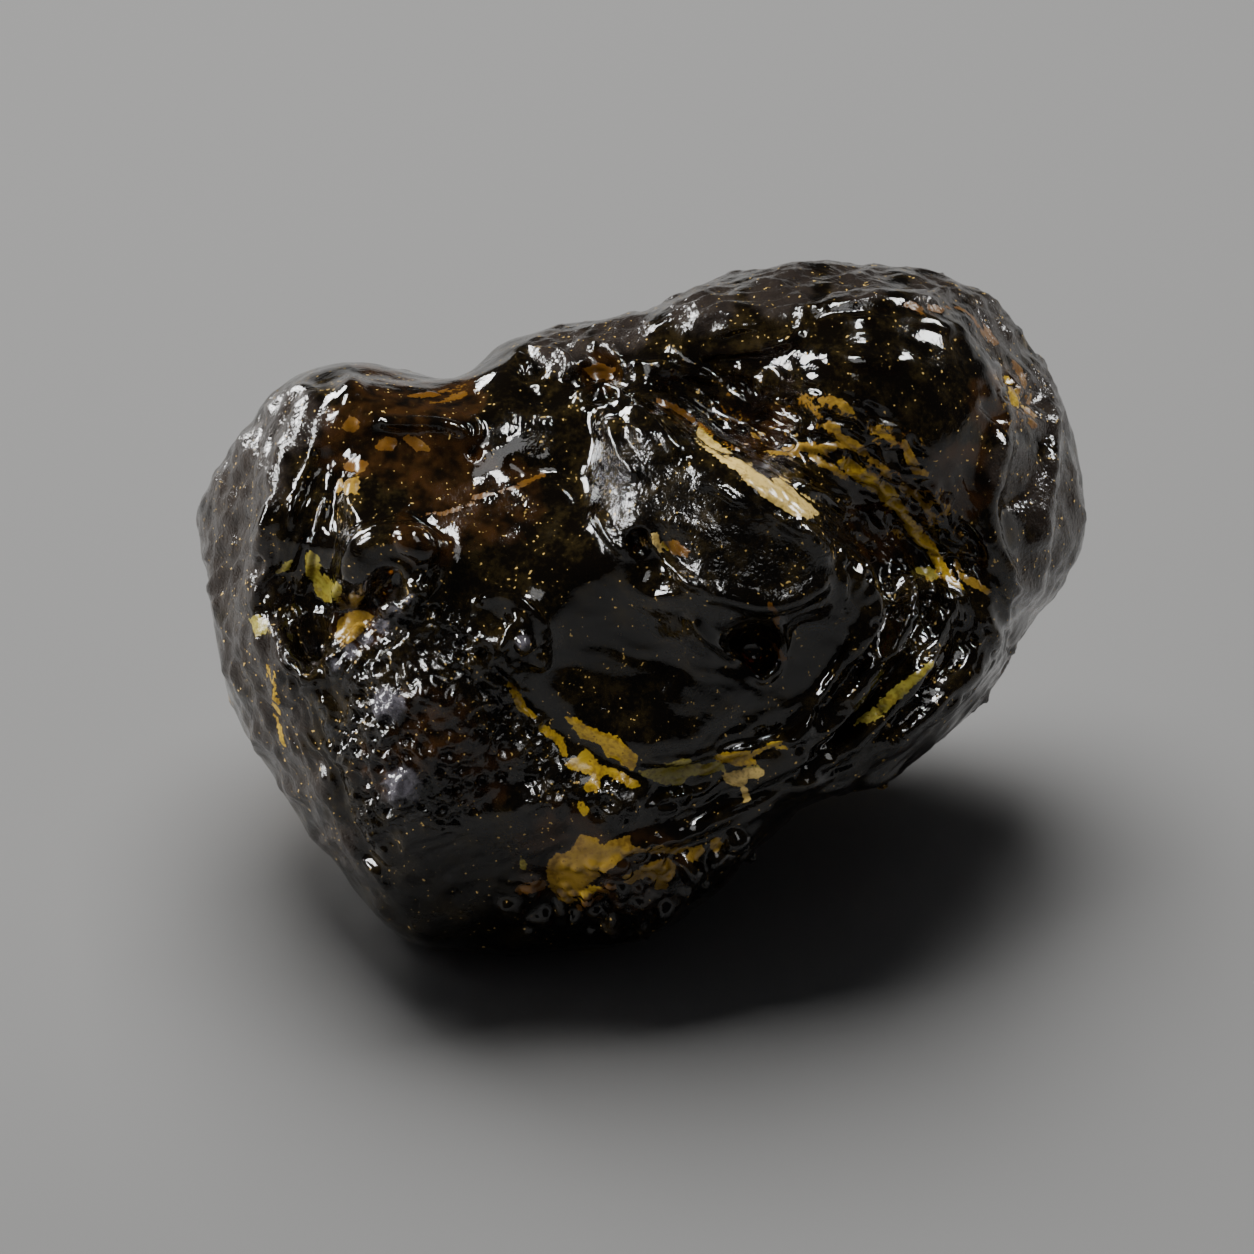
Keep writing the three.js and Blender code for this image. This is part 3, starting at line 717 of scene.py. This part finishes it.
    def cells(self, places: np.ndarray, where: np.ndarray | None = None) -> tuple[np.ndarray, np.ndarray]:
        """Finds random cells.

        Args:
            places: Where each vertex is looked up, in cells.
            where: Only vertices with a share above zero are worked out.

        Returns:
            The distance to the cell's middle, and how much further the next cell's middle is.
        """
        first = self.sample(places, lambda place: noise.voronoi(place)[0][0], where)
        second = self.sample(places, lambda place: noise.voronoi(place)[0][1], where)
        return first, second - first

    def sample(self, places: np.ndarray, function: Callable[[Vector], float],
               where: np.ndarray | None = None) -> np.ndarray:
        """Calls a function of place for every vertex with a share above zero."""
        values = np.zeros(self.count)
        chosen = range(self.count) if where is None else np.flatnonzero(where > 0.001)
        for i in chosen:
            values[i] = function(Vector(places[i]))
        return values

    def press_flat(self, flat: Flat) -> None:
        """Draws a broken face towards the plane that fits it best.

        Args:
            flat: The face.
        """
        share = self.spot_share(flat.spots)
        chosen = share > 0.5
        middle = self.places[chosen].mean(axis=0)
        normal = np.linalg.svd(self.places[chosen] - middle, full_matrices=False)[2][2]
        gap = (self.places - middle) @ normal
        self.places -= (share * flat.strength * gap)[:, None] * normal
        self.refresh()

    def store(self, name: str, values: np.ndarray) -> None:
        """Keeps one number for each vertex under a name that the finish reads."""
        layer = self.mesh.attributes.new(name, "FLOAT", "POINT")
        layer.data.foreach_set("value", values.astype(np.float32))


@dataclass(frozen=True)
class Carver:
    """Works the fine relief into the skin and stores what the finish needs."""

    path_fade: float = 0.12
    crust_rise: float = 0.06
    net_depth: float = 0.45
    net_strand: float = 0.08
    slant_loss: float = 0.5
    flow_direction: tuple[float, float, float] = (0.80, 0.25, -0.55)
    fold_length: float = 9.0
    fold_spacing: float = 2.6
    fold_height: float = 0.5
    crease_depth: float = 0.6
    hollow_size: float = 8.0
    hollow_depth: float = 0.8
    hollow_edge: float = 0.5
    swells: Grain = Grain(3.4, 0.45)

    def ridge_heights(self, skin: Skin) -> np.ndarray:
        """Adds up the heights of all ridges and creases.

        Args:
            skin: The skin.

        Returns:
            Millimetres for each vertex.
        """
        heights = np.zeros(skin.count)
        for ridge in RIDGES.values():
            gap, along, _ = skin.beside(ridge.path, ridge.width)
            fade = smooth_step(along, -0.05, self.path_fade) * smooth_step(along, 1.05, 1 - self.path_fade)
            heights += ridge.height * fade * smooth_step(np.abs(gap), ridge.width, 0.0)
        return heights * skin.front

    def knob_heights(self, skin: Skin) -> np.ndarray:
        """Adds up the heights of all lumps and hollows.

        Args:
            skin: The skin.

        Returns:
            Millimetres for each vertex.
        """
        nodules = [Knob(place, NODULE_RADIUS, NODULE_HEIGHT) for place in NODULES]
        heights = np.zeros(skin.count)
        for knob in (*KNOBS.values(), *nodules):
            gap = np.hypot(*(skin.points - np.array(knob.at)).T) * skin.sight.mm_per_point
            heights += knob.height * smooth_step(gap, knob.radius, 0.15 * knob.radius)
        return heights * skin.front

    def strand_heights(self, skin: Skin) -> np.ndarray:
        """Adds up the heights of all fine flow lines.

        Args:
            skin: The skin.

        Returns:
            Millimetres for each vertex.
        """
        heights = np.zeros(skin.count)
        for number, strands in enumerate(STRANDS.values()):
            gap, along, _ = skin.beside(strands.guide, strands.reach)
            share = smooth_step(np.abs(gap), strands.reach, 0.45 * strands.reach) * skin.front
            share *= smooth_step(along, -0.02, 0.06) * smooth_step(along, 1.02, 0.94)
            line = np.array(strands.guide, float)
            total = np.linalg.norm(np.diff(line, axis=0), axis=1).sum() * skin.sight.mm_per_point
            bent = gap / strands.spacing + 0.6 * skin.grain(2.5, share)
            layer = np.full(skin.count, 7.0 * number)
            lookup = np.stack((along * total / strands.length, bent, layer), axis=1)
            wave = skin.sample(lookup, noise.noise, share)
            finer = skin.sample(lookup * (2.2, 2.1, 1.0) + 31.0, noise.noise, share)
            heights += strands.depth * share * (wave + 0.5 * finer)
        return heights

    @staticmethod
    def grain_heights(skin: Skin, grains: tuple[Grain, ...], where: np.ndarray | None = None) -> np.ndarray:
        """Adds up soft random heights of several sizes, in millimetres."""
        return np.sum([grain.height * skin.grain(grain.size, where) for grain in grains], axis=0)

    def zone_heights(self, skin: Skin, shares: dict[Zone, np.ndarray], net: np.ndarray) -> np.ndarray:
        """Makes the uneven grain of each kind of skin.

        Args:
            skin: The skin.
            shares: How much of each kind every vertex has.
            net: How far each vertex is from a strand of the net, in cells.

        Returns:
            Millimetres for each vertex.
        """
        heights = self.grain_heights(skin, SKIN_GRAINS)
        for zone, grains in ZONE_GRAINS.items():
            heights += shares[zone] * self.grain_heights(skin, grains, shares[zone])
        for zone, dimples in ZONE_DIMPLES.items():
            middle, wall = skin.cells(skin.places / (dimples.size * MM), shares[zone])
            dip = dimples.height * smooth_step(middle, dimples.rim, dimples.floor)
            rise = dimples.wall_height * smooth_step(wall, dimples.wall_width, 0.0)
            heights += shares[zone] * (dip + rise)
        heights -= shares[Zone.NET] * self.net_depth * smooth_step(net, self.net_strand, 0.45)
        return heights

    def hidden_folds(self, skin: Skin, back: np.ndarray) -> np.ndarray:
        """Makes random swells drawn out along the nugget's flow, for the side that the picture doesn't show.

        Args:
            skin: The skin.
            back: How far each vertex belongs to that side.

        Returns:
            About -1 to 1 for each vertex; a crease runs where it is 0.
        """
        flow = np.array(Vector(self.flow_direction).normalized())
        along = skin.places @ flow / MM
        across = skin.places / MM - along[:, None] * flow
        along = along / self.fold_length + 0.6 * skin.grain(5.0, back)
        bent = across / self.fold_spacing + along[:, None] * flow
        return skin.sample(bent + 0.35 * skin.grain(3.0, back)[:, None], noise.noise, back)

    def hidden_heights(self, skin: Skin, back: np.ndarray, folds: np.ndarray) -> np.ndarray:
        """Makes folds, creases and broken hollows on the side that the picture doesn't show.

        Args:
            skin: The skin.
            back: How far each vertex belongs to that side.
            folds: The swells that the creases follow.

        Returns:
            Millimetres for each vertex.
        """
        folded = smooth_step(skin.grain(12.0, back), -0.2, 0.15)
        hollow, edge = skin.cells(skin.places / (self.hollow_size * MM), back)
        crease = smooth_step(np.abs(folds), 0.14, 0.0)
        heights = folded * (self.fold_height * folds - self.crease_depth * crease)
        heights += self.grain_heights(skin, (self.swells,), back)
        heights += self.hollow_edge * smooth_step(edge, 0.14, 0.0)
        return back * (heights - self.hollow_depth * smooth_step(hollow, 0.45, 0.1))

    def net_cells(self, skin: Skin, share: np.ndarray) -> np.ndarray:
        """Returns how far each vertex is from the strands of a net along the shoulder's flow, in cells."""
        strands = STRANDS["shoulder flow"]
        gap, along, _ = skin.beside(strands.guide, 12.0)
        bent = skin.grain(1.6, share)
        lookup = np.stack((along * 14.0 + 0.5 * bent, gap / 0.95 + 0.4 * bent, np.zeros(skin.count)), axis=1)
        return skin.cells(lookup, share)[1]

    def crust_depths(self, skin: Skin) -> tuple[np.ndarray, np.ndarray]:
        """Works out where crust and veins lie.

        Args:
            skin: The skin.

        Returns:
            Millimetres inside the nearest piece of crust, negative outside, and that piece's tone.
        """
        depths = [(skin.depth_inside(patch.outline), patch.tone) for patch in PATCHES.values()]
        for thread in THREADS.values():
            gap, _, width = skin.beside(thread.path, 1.5)
            depths.append((width - np.abs(gap), thread.tone))
        crust, tone = np.full(skin.count, -FAR), np.zeros(skin.count)
        for depth, its_tone in depths:
            nearer = depth > crust
            crust[nearer] = depth[nearer]
            tone[nearer] = its_tone.value
        crust -= self.slant_loss * smooth_step(skin.facing, 0.5, 0.2)
        return np.where(skin.front > 0.3, crust, -FAR), tone

    def carve(self, skin: Skin) -> None:
        """Works all relief into the skin and stores the shares that the finish reads.

        Args:
            skin: The skin.
        """
        for flat in FLATS.values():
            skin.press_flat(flat)
        skin.raise_by(self.knob_heights(skin))
        skin.raise_by(self.ridge_heights(skin))
        shares = {zone: skin.spot_share(spots) for zone, spots in ZONES.items()}
        back = skin.behind
        folds = self.hidden_folds(skin, back)
        rind = (1.0 - skin.front) * smooth_step(skin.grain(9.0), -0.3, 0.0)
        shares[Zone.RIND] = np.maximum(shares[Zone.RIND], rind)
        for zone, size in ((Zone.PITTED, 7.0), (Zone.FLOW, 8.0)):
            shares[zone] = np.maximum(shares[zone], back * smooth_step(skin.grain(size, back), 0.05, 0.3))
        net = self.net_cells(skin, shares[Zone.NET])
        heights = self.strand_heights(skin) + self.zone_heights(skin, shares, net)
        skin.raise_by(heights + self.hidden_heights(skin, back, folds))
        crust, tone = self.crust_depths(skin)
        strand = np.where(shares[Zone.NET] > 0.3, 0.9 * (0.13 - net) - 0.12 * (1 - skin.grain(3.0)), -FAR)
        tone = np.where(strand > crust, Tone.OCHRE.value * (0.4 + skin.grain(2.0)), tone)
        crust = np.maximum(crust, strand)
        hidden = 2.0 * (skin.grain(6.0) + 0.6 * skin.grain(1.6) + 0.3 * skin.grain(0.8) - 0.72)
        veins = 0.42 * smooth_step(skin.grain(7.0), 0.0, 0.4) - 0.14 - 1.8 * np.abs(folds)
        hidden = np.where(back > 0.05, np.maximum(hidden, veins), -FAR)
        tone = np.where(hidden > crust, 0.22 + 0.7 * skin.grain(5.0), tone)
        crust = np.clip(np.maximum(crust, hidden), -1.0, 1.0)
        skin.raise_by(self.crust_rise * smooth_step(crust, -0.05, 0.2) * (1.0 + 0.8 * skin.grain(0.6)))
        rough = np.maximum(shares[Zone.RIND], shares[Zone.SUGAR])
        skin.store("crust", crust)
        skin.store("tone", np.clip(tone, 0.0, 1.0))
        skin.store("rough", np.maximum(rough, 0.6 * shares[Zone.PITTED]))
        # The painted sheen's share is stored beside the rind and veil shares.
        for zone in (Zone.RIND, Zone.VEIL, Zone.PAINTED_SHEEN):
            skin.store(zone.value, shares[zone])


class Value:
    """A number in a material's node tree, which Python's operators turn into Math nodes."""

    def __init__(self, tree: NodeTree, socket: bpy.types.NodeSocket) -> None:
        """Wraps a socket of the tree."""
        self.tree = tree
        self.socket = socket

    def _math(self, operation: str, first: Value | float, second: Value | float) -> Value:
        """Adds a Math node and returns its result."""
        return self.tree.node("ShaderNodeMath", {"operation": operation}, {0: first, 1: second})

    def __add__(self, other: Value | float) -> Value:
        """Returns the sum."""
        return self._math("ADD", self, other)

    def __radd__(self, other: float) -> Value:
        """Returns the sum."""
        return self._math("ADD", other, self)

    def __sub__(self, other: Value | float) -> Value:
        """Returns the difference."""
        return self._math("SUBTRACT", self, other)

    def __rsub__(self, other: float) -> Value:
        """Returns the difference from a plain number."""
        return self._math("SUBTRACT", other, self)

    def __mul__(self, other: Value | float) -> Value:
        """Returns the product."""
        return self._math("MULTIPLY", self, other)

    def __rmul__(self, other: float) -> Value:
        """Returns the product."""
        return self._math("MULTIPLY", other, self)

    def __or__(self, other: Value | float) -> Value:
        """Returns the larger of the two."""
        return self._math("MAXIMUM", self, other)

    def step(self, low: float, high: float) -> Value:
        """Eases from 0 at low to 1 at high."""
        return self.tree.node(
            "ShaderNodeMapRange",
            {"interpolation_type": "SMOOTHSTEP", "clamp": True},
            {"Value": self, "From Min": low, "From Max": high, "To Min": 0.0, "To Max": 1.0},
        )


class NodeTree:
    """A material's nodes, written as expressions."""

    def __init__(self, name: str) -> None:
        """Makes an empty material of that name."""
        self.material = bpy.data.materials.new(name)
        self.material.use_nodes = True
        self.nodes = self.material.node_tree.nodes
        self.links = self.material.node_tree.links
        self.nodes.clear()
        self.coordinates = self.node("ShaderNodeTexCoord", {}, {}, "Object")

    def node(self, kind: str, settings: dict, inputs: dict, output: str | int = 0) -> Value | None:
        """Adds a node.

        Args:
            kind: The node's type.
            settings: Its own settings, set before its sockets.
            inputs: A value, or another node's result, for each named or numbered socket.
            output: The socket that is returned.

        Returns:
            The node's result, or nothing for a node without one.
        """
        node = self.nodes.new(kind)
        for name, setting in settings.items():
            setattr(node, name, setting)
        for name, value in inputs.items():
            if isinstance(value, Value):
                self.links.new(value.socket, node.inputs[name])
            else:
                node.inputs[name].default_value = value
        return Value(self, node.outputs[output]) if len(node.outputs) else None

    def share(self, name: str) -> Value:
        """Returns a number that the mesh stores for each vertex."""
        return self.node("ShaderNodeAttribute", {"attribute_name": name}, {}, "Fac")

    def grain(self, size: float, detail: float = 2.0) -> Value:
        """Returns soft random values about 0.5, with swells of that size in millimetres."""
        inputs = {"Vector": self.coordinates, "Scale": 1.0 / (size * MM), "Detail": detail, "Roughness": 0.6}
        return self.node("ShaderNodeTexNoise", {}, inputs, "Fac")

    def mix(self, share: Value | float, first: Value | Colour, second: Value | Colour) -> Value:
        """Mixes two colours, the second by the given share."""
        inputs = {0: share, 6: self.colour(first), 7: self.colour(second)}
        return self.node("ShaderNodeMix", {"data_type": "RGBA"}, inputs, 2)

    @staticmethod
    def colour(value: Value | Colour) -> Value | tuple[float, ...]:
        """Gives a plain colour its fourth number."""
        return value if isinstance(value, Value) else (*value, 1.0)

    def ramp(self, share: Value, stops: dict[float, Colour]) -> Value:
        """Returns the colour at a place along a run of colours."""
        node = self.nodes.new("ShaderNodeValToRGB")
        elements = node.color_ramp.elements
        while len(elements) < len(stops):
            elements.new(0.5)
        for element, (place, colour) in zip(elements, sorted(stops.items())):
            element.position = place
            element.color = (*colour, 1.0)
        self.links.new(share.socket, node.inputs["Fac"])
        return Value(self, node.outputs["Color"])


@dataclass(frozen=True)
class AmberFinish:
    """Clear dark resin with crust, veins, veils, gold specks and a dull rind in and on it, with a painted
    grey sheen; the specks are partly painted sparkle.
    """

    refraction: float = 1.54
    clear_tint: Colour = (0.95, 0.86, 0.66)
    absorption_colour: Colour = (0.82, 0.62, 0.14)
    absorption_per_metre: float = 1300.0
    body_brown: Colour = (0.006, 0.004, 0.002)
    body_olive: Colour = (0.040, 0.027, 0.008)
    veil_brown: Colour = (0.050, 0.020, 0.005)
    rind_grey: Colour = (0.030, 0.023, 0.019)
    # Painted sheen: a grey that stands in for reflected light and highlights.
    painted_sheen_grey: Colour = (0.15, 0.14, 0.16)
    # Gold specks: partly flecks in the resin, partly painted sparkle.
    fleck_and_sparkle_gold: Colour = (0.60, 0.40, 0.12)
    edge_brown: Colour = (0.10, 0.045, 0.008)
    coat: float = 0.4
    coat_roughness: float = 0.05
    gloss: float = 0.05
    dull_gain: float = 0.14
    least_opaque: float = 0.5
    speck_from: float = 0.71
    speck_full: float = 0.755
    bump_strength: float = 0.4
    bump_height: float = 0.00014

    def tones(self) -> dict[float, Colour]:
        """Returns the colour of each tone of crust."""
        return {
            Tone.BROWN.value: (0.12, 0.050, 0.005),
            Tone.OCHRE.value: (0.30, 0.180, 0.025),
            Tone.GOLD.value: (0.52, 0.325, 0.018),
            Tone.OLIVE.value: (0.31, 0.270, 0.040),
            Tone.CREAM.value: (0.70, 0.500, 0.150),
        }

    def material(self) -> bpy.types.Material:
        """Makes the material.

        Returns:
            The finished material.
        """
        tree = NodeTree("amber")
        fine, soft = tree.grain(0.30, 1.0), tree.grain(1.6, 2.0)
        rough = tree.share("rough")
        rind = (tree.share("rind") + 1.5 * (soft - 0.5)).step(0.15, 1.0)
        depth = tree.share("crust") + 0.36 * (fine - 0.46) + 0.24 * (soft - 0.46)
        crust = depth.step(-0.01, 0.05)
        core = (0.45 * depth + 1.5 * (fine - 0.5) + 1.1 * (soft - 0.5)).step(-0.3, 0.35)
        veil = (tree.share("veil") + 2.2 * (soft - 0.62)).step(0.3, 1.2)
        # Painted sheen mask: where reflected light and highlights are painted in grey.
        haze = (tree.share("haze") + 1.2 * (fine - 0.5)).step(0.2, 1.1)
        # Mask of the gold specks, which are partly flecks in the resin and partly painted sparkle.
        flecks_and_sparkles = (fine + 0.25 * (soft - 0.5)).step(self.speck_from, self.speck_full)
        tone = tree.ramp(tree.share("tone") + 0.25 * (soft - 0.5), self.tones())
        tone = tree.mix(core, tree.mix(0.55, tone, self.edge_brown), tone)
        tone = tree.mix(0.7 * flecks_and_sparkles, tone, self.edge_brown)
        colour = tree.mix((soft + 0.5 * fine).step(0.65, 1.05), self.body_brown, self.body_olive)
        colour = tree.mix(veil, colour, self.veil_brown)
        colour = tree.mix(rind * 0.8, colour, self.rind_grey)
        # Paints the sheen in grey.
        colour = tree.mix(haze, colour, self.painted_sheen_grey)
        # Paints the gold specks, partly flecks and partly painted sparkle.
        colour = tree.mix(flecks_and_sparkles, colour, self.fleck_and_sparkle_gold)
        colour = tree.mix(crust, colour, tone)
        # The painted sheen and the gold specks are made opaque so that their colour shows.
        opaque = (self.least_opaque + 0.15 * veil + 0.3 * rind) | haze * 0.6 | crust | flecks_and_sparkles
        height = fine * (0.3 + 1.5 * rough)
        bump = tree.node(
            "ShaderNodeBump", {},
            {"Strength": self.bump_strength, "Distance": self.bump_height, "Height": height})
        roughness = self.gloss + 0.08 * (soft - 0.35).step(0.0, 0.4) + self.dull_gain * rough
        clear = tree.node(
            "ShaderNodeBsdfPrincipled", {},
            {"Base Color": (*self.clear_tint, 1.0), "Roughness": roughness, "IOR": self.refraction,
             "Transmission Weight": 1.0, "Normal": bump},
        )
        matter = tree.node(
            "ShaderNodeBsdfPrincipled", {},
            {"Base Color": colour, "Roughness": roughness + 0.15 * crust, "IOR": self.refraction,
             "Coat Weight": self.coat, "Coat Roughness": self.coat_roughness, "Normal": bump},
        )
        surface = tree.node("ShaderNodeMixShader", {}, {0: opaque, 1: clear, 2: matter})
        volume = tree.node(
            "ShaderNodeVolumeAbsorption", {},
            {"Color": (*self.absorption_colour, 1.0), "Density": self.absorption_per_metre},
        )
        tree.node("ShaderNodeOutputMaterial", {}, {"Surface": surface, "Volume": volume})
        return tree.material


@dataclass(frozen=True)
class Nugget:
    """The amber nugget: one closed fine mesh over the solid."""

    node: str = "amber_nugget"
    slot: str = "amber"
    body: str = "root"
    rich_edge: float = 0.30
    plain_edge: float = 0.60
    splits: int = 4
    roundings: int = 6
    finish: AmberFinish = AmberFinish()

    def build(self, sight: Sight) -> bpy.types.Object:
        """Makes the fine mesh from the solid's own.

        Args:
            sight: The viewpoint that the features were picked from.

        Returns:
            The nugget's object.
        """
        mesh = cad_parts[self.node].data.copy()
        mesh.name = "amber_lump"
        mesh.materials.clear()
        work = bmesh.new()
        work.from_mesh(mesh)
        bmesh.ops.remove_doubles(work, verts=work.verts, dist=0.001 * MM)
        self._refine(work, sight)
        above = [vertex for vertex in work.verts if vertex.co.z > 0.01 * MM]
        for _ in range(self.roundings):
            bmesh.ops.smooth_vert(
                work, verts=above, factor=0.5, use_axis_x=True, use_axis_y=True, use_axis_z=True)
        for face in work.faces:
            face.smooth = True
        work.to_mesh(mesh)
        work.free()
        Carver().carve(Skin(mesh, sight))
        piece = bpy.data.objects.new("amber_lump", mesh)
        bpy.context.scene.collection.objects.link(piece)
        return piece

    def _refine(self, work: bmesh.types.BMesh, sight: Sight) -> None:
        """Splits edges that are longer than the relief around them needs.

        Args:
            work: The solid's mesh, which is changed.
            sight: The viewpoint that the features were picked from.
        """
        towards = np.array(sight.axes()[2])
        aim = sight.aim(np.array([vertex.co for vertex in work.verts]))
        for _ in range(self.splits):
            work.normal_update()
            work.verts.index_update()
            points = sight.picture_points(np.array([vertex.co for vertex in work.verts]), aim)
            facing = np.array([vertex.normal for vertex in work.verts]) @ towards
            rich = np.zeros(len(points), bool)
            for x, y, radius in RICH_SPOTS:
                rich |= np.hypot(points[:, 0] - x, points[:, 1] - y) < radius
            limits = np.where(rich & (facing > -0.1), self.rich_edge, self.plain_edge) * MM
            long_edges = []
            for edge in work.edges:
                first, second = edge.verts
                if edge.calc_length() > min(limits[first.index], limits[second.index]):
                    long_edges.append(edge)
            bmesh.ops.subdivide_edges(work, edges=long_edges, cuts=1, use_grid_fill=True)
            wide = [face for face in work.faces if len(face.verts) > 3]
            bmesh.ops.triangulate(work, faces=wide)

    def dress(self, piece: bpy.types.Object) -> None:
        """Gives the nugget its finish and ties it to the solid that it stands for.

        Args:
            piece: The nugget's object.
        """
        piece.data.materials.append(self.finish.material())
        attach(piece, self.body)
        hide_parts(self.node)


class Lit(Enum):
    """What a lamp lights."""

    FLOOR = "lit_floor"
    NUGGET = "lit_nugget"


@dataclass(frozen=True)
class Lamp:
    """A soft lamp that faces the nugget.

    It has its place from the nugget's middle and its two sides, in metres, and how bright its face is.
    """

    lights: Lit
    offset: tuple[float, float, float]
    width: float
    depth: float
    radiance: float

    def hang(self, name: str, middle: Vector) -> None:
        """Adds the lamp.

        Args:
            name: The lamp's name.
            middle: The nugget's middle, in metres.
        """
        light = bpy.data.lights.new(name, "AREA")
        light.shape = "RECTANGLE"
        light.size = self.width
        light.size_y = self.depth
        light.energy = POWER_PER_RADIANCE * self.width * self.depth * self.radiance
        away = Vector(self.offset)
        turn = away.to_track_quat("Z", "Y").to_matrix().to_4x4()
        lamp = bpy.data.objects.new(name, light)
        lamp.matrix_world = Matrix.Translation(middle + away) @ turn
        lamp.light_linking.receiver_collection = bpy.data.collections[self.lights.value]
        bpy.context.scene.collection.objects.link(lamp)


@dataclass(frozen=True)
class Studio:
    """A plain pale floor, soft lamps and a dim room."""

    floor_half: float = 0.6
    floor_colour: Colour = (0.56, 0.555, 0.545)
    room_colour: Colour = (0.025, 0.026, 0.028)
    lamps: tuple[Lamp, ...] = (
        Lamp(Lit.FLOOR, (-0.05, 0.16, 0.36), 0.32, 0.32, 3.4),
        Lamp(Lit.NUGGET, (0.12, -0.17, 0.36), 0.16, 0.16, 1.8),
        Lamp(Lit.NUGGET, (0.07, -0.01, 0.36), 0.15, 0.05, 30.0),
        Lamp(Lit.NUGGET, (-0.30, 0.08, 0.20), 0.12, 0.12, 28.0),
        Lamp(Lit.NUGGET, (-0.22, 0.30, 0.07), 0.12, 0.10, 22.0),
        Lamp(Lit.NUGGET, (-0.32, -0.08, 0.15), 0.10, 0.10, 26.0),
        Lamp(Lit.NUGGET, (0.28, 0.18, 0.16), 0.10, 0.10, 22.0),
    )

    def build(self, middle: Vector, piece: bpy.types.Object) -> None:
        """Adds the floor, the lamps and the room's dim light.

        Args:
            middle: The nugget's middle, in metres.
            piece: The nugget's object.
        """
        work = bmesh.new()
        bmesh.ops.create_grid(work, x_segments=1, y_segments=1, size=self.floor_half)
        mesh = bpy.data.meshes.new("floor")
        work.to_mesh(mesh)
        work.free()
        tree = NodeTree("floor")
        surface = tree.node(
            "ShaderNodeBsdfPrincipled", {}, {"Base Color": (*self.floor_colour, 1.0), "Roughness": 0.7})
        tree.node("ShaderNodeOutputMaterial", {}, {"Surface": surface})
        mesh.materials.append(tree.material)
        floor = bpy.data.objects.new("floor", mesh)
        bpy.context.scene.collection.objects.link(floor)
        for lit, thing in ((Lit.FLOOR, floor), (Lit.NUGGET, piece)):
            bpy.data.collections.new(lit.value).objects.link(thing)
        for number, lamp in enumerate(self.lamps, 1):
            lamp.hang(f"lamp_{number}", middle)
        world = bpy.data.worlds.new("room")
        world.use_nodes = True
        world.node_tree.nodes["Background"].inputs["Color"].default_value = (*self.room_colour, 1.0)
        bpy.context.scene.world = world


def main() -> None:
    """Builds the nugget, its finish and the studio in order."""
    logging.basicConfig(level=logging.INFO, format="%(name)s: %(message)s")
    sight, nugget, studio = Sight(), Nugget(), Studio()
    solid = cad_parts[nugget.node].data
    aim = sight.aim(np.array([vertex.co for vertex in solid.vertices]))
    piece = nugget.build(sight)
    LOG.info("%s: %d faces", piece.name, len(piece.data.polygons))
    nugget.dress(piece)
    LOG.info("%s: dressed as %s", piece.name, nugget.slot)
    sight.place_camera(aim)
    studio.build(aim, piece)
    LOG.info("studio: %d lamps", len(studio.lamps))


if __name__ == "__main__":
    main()
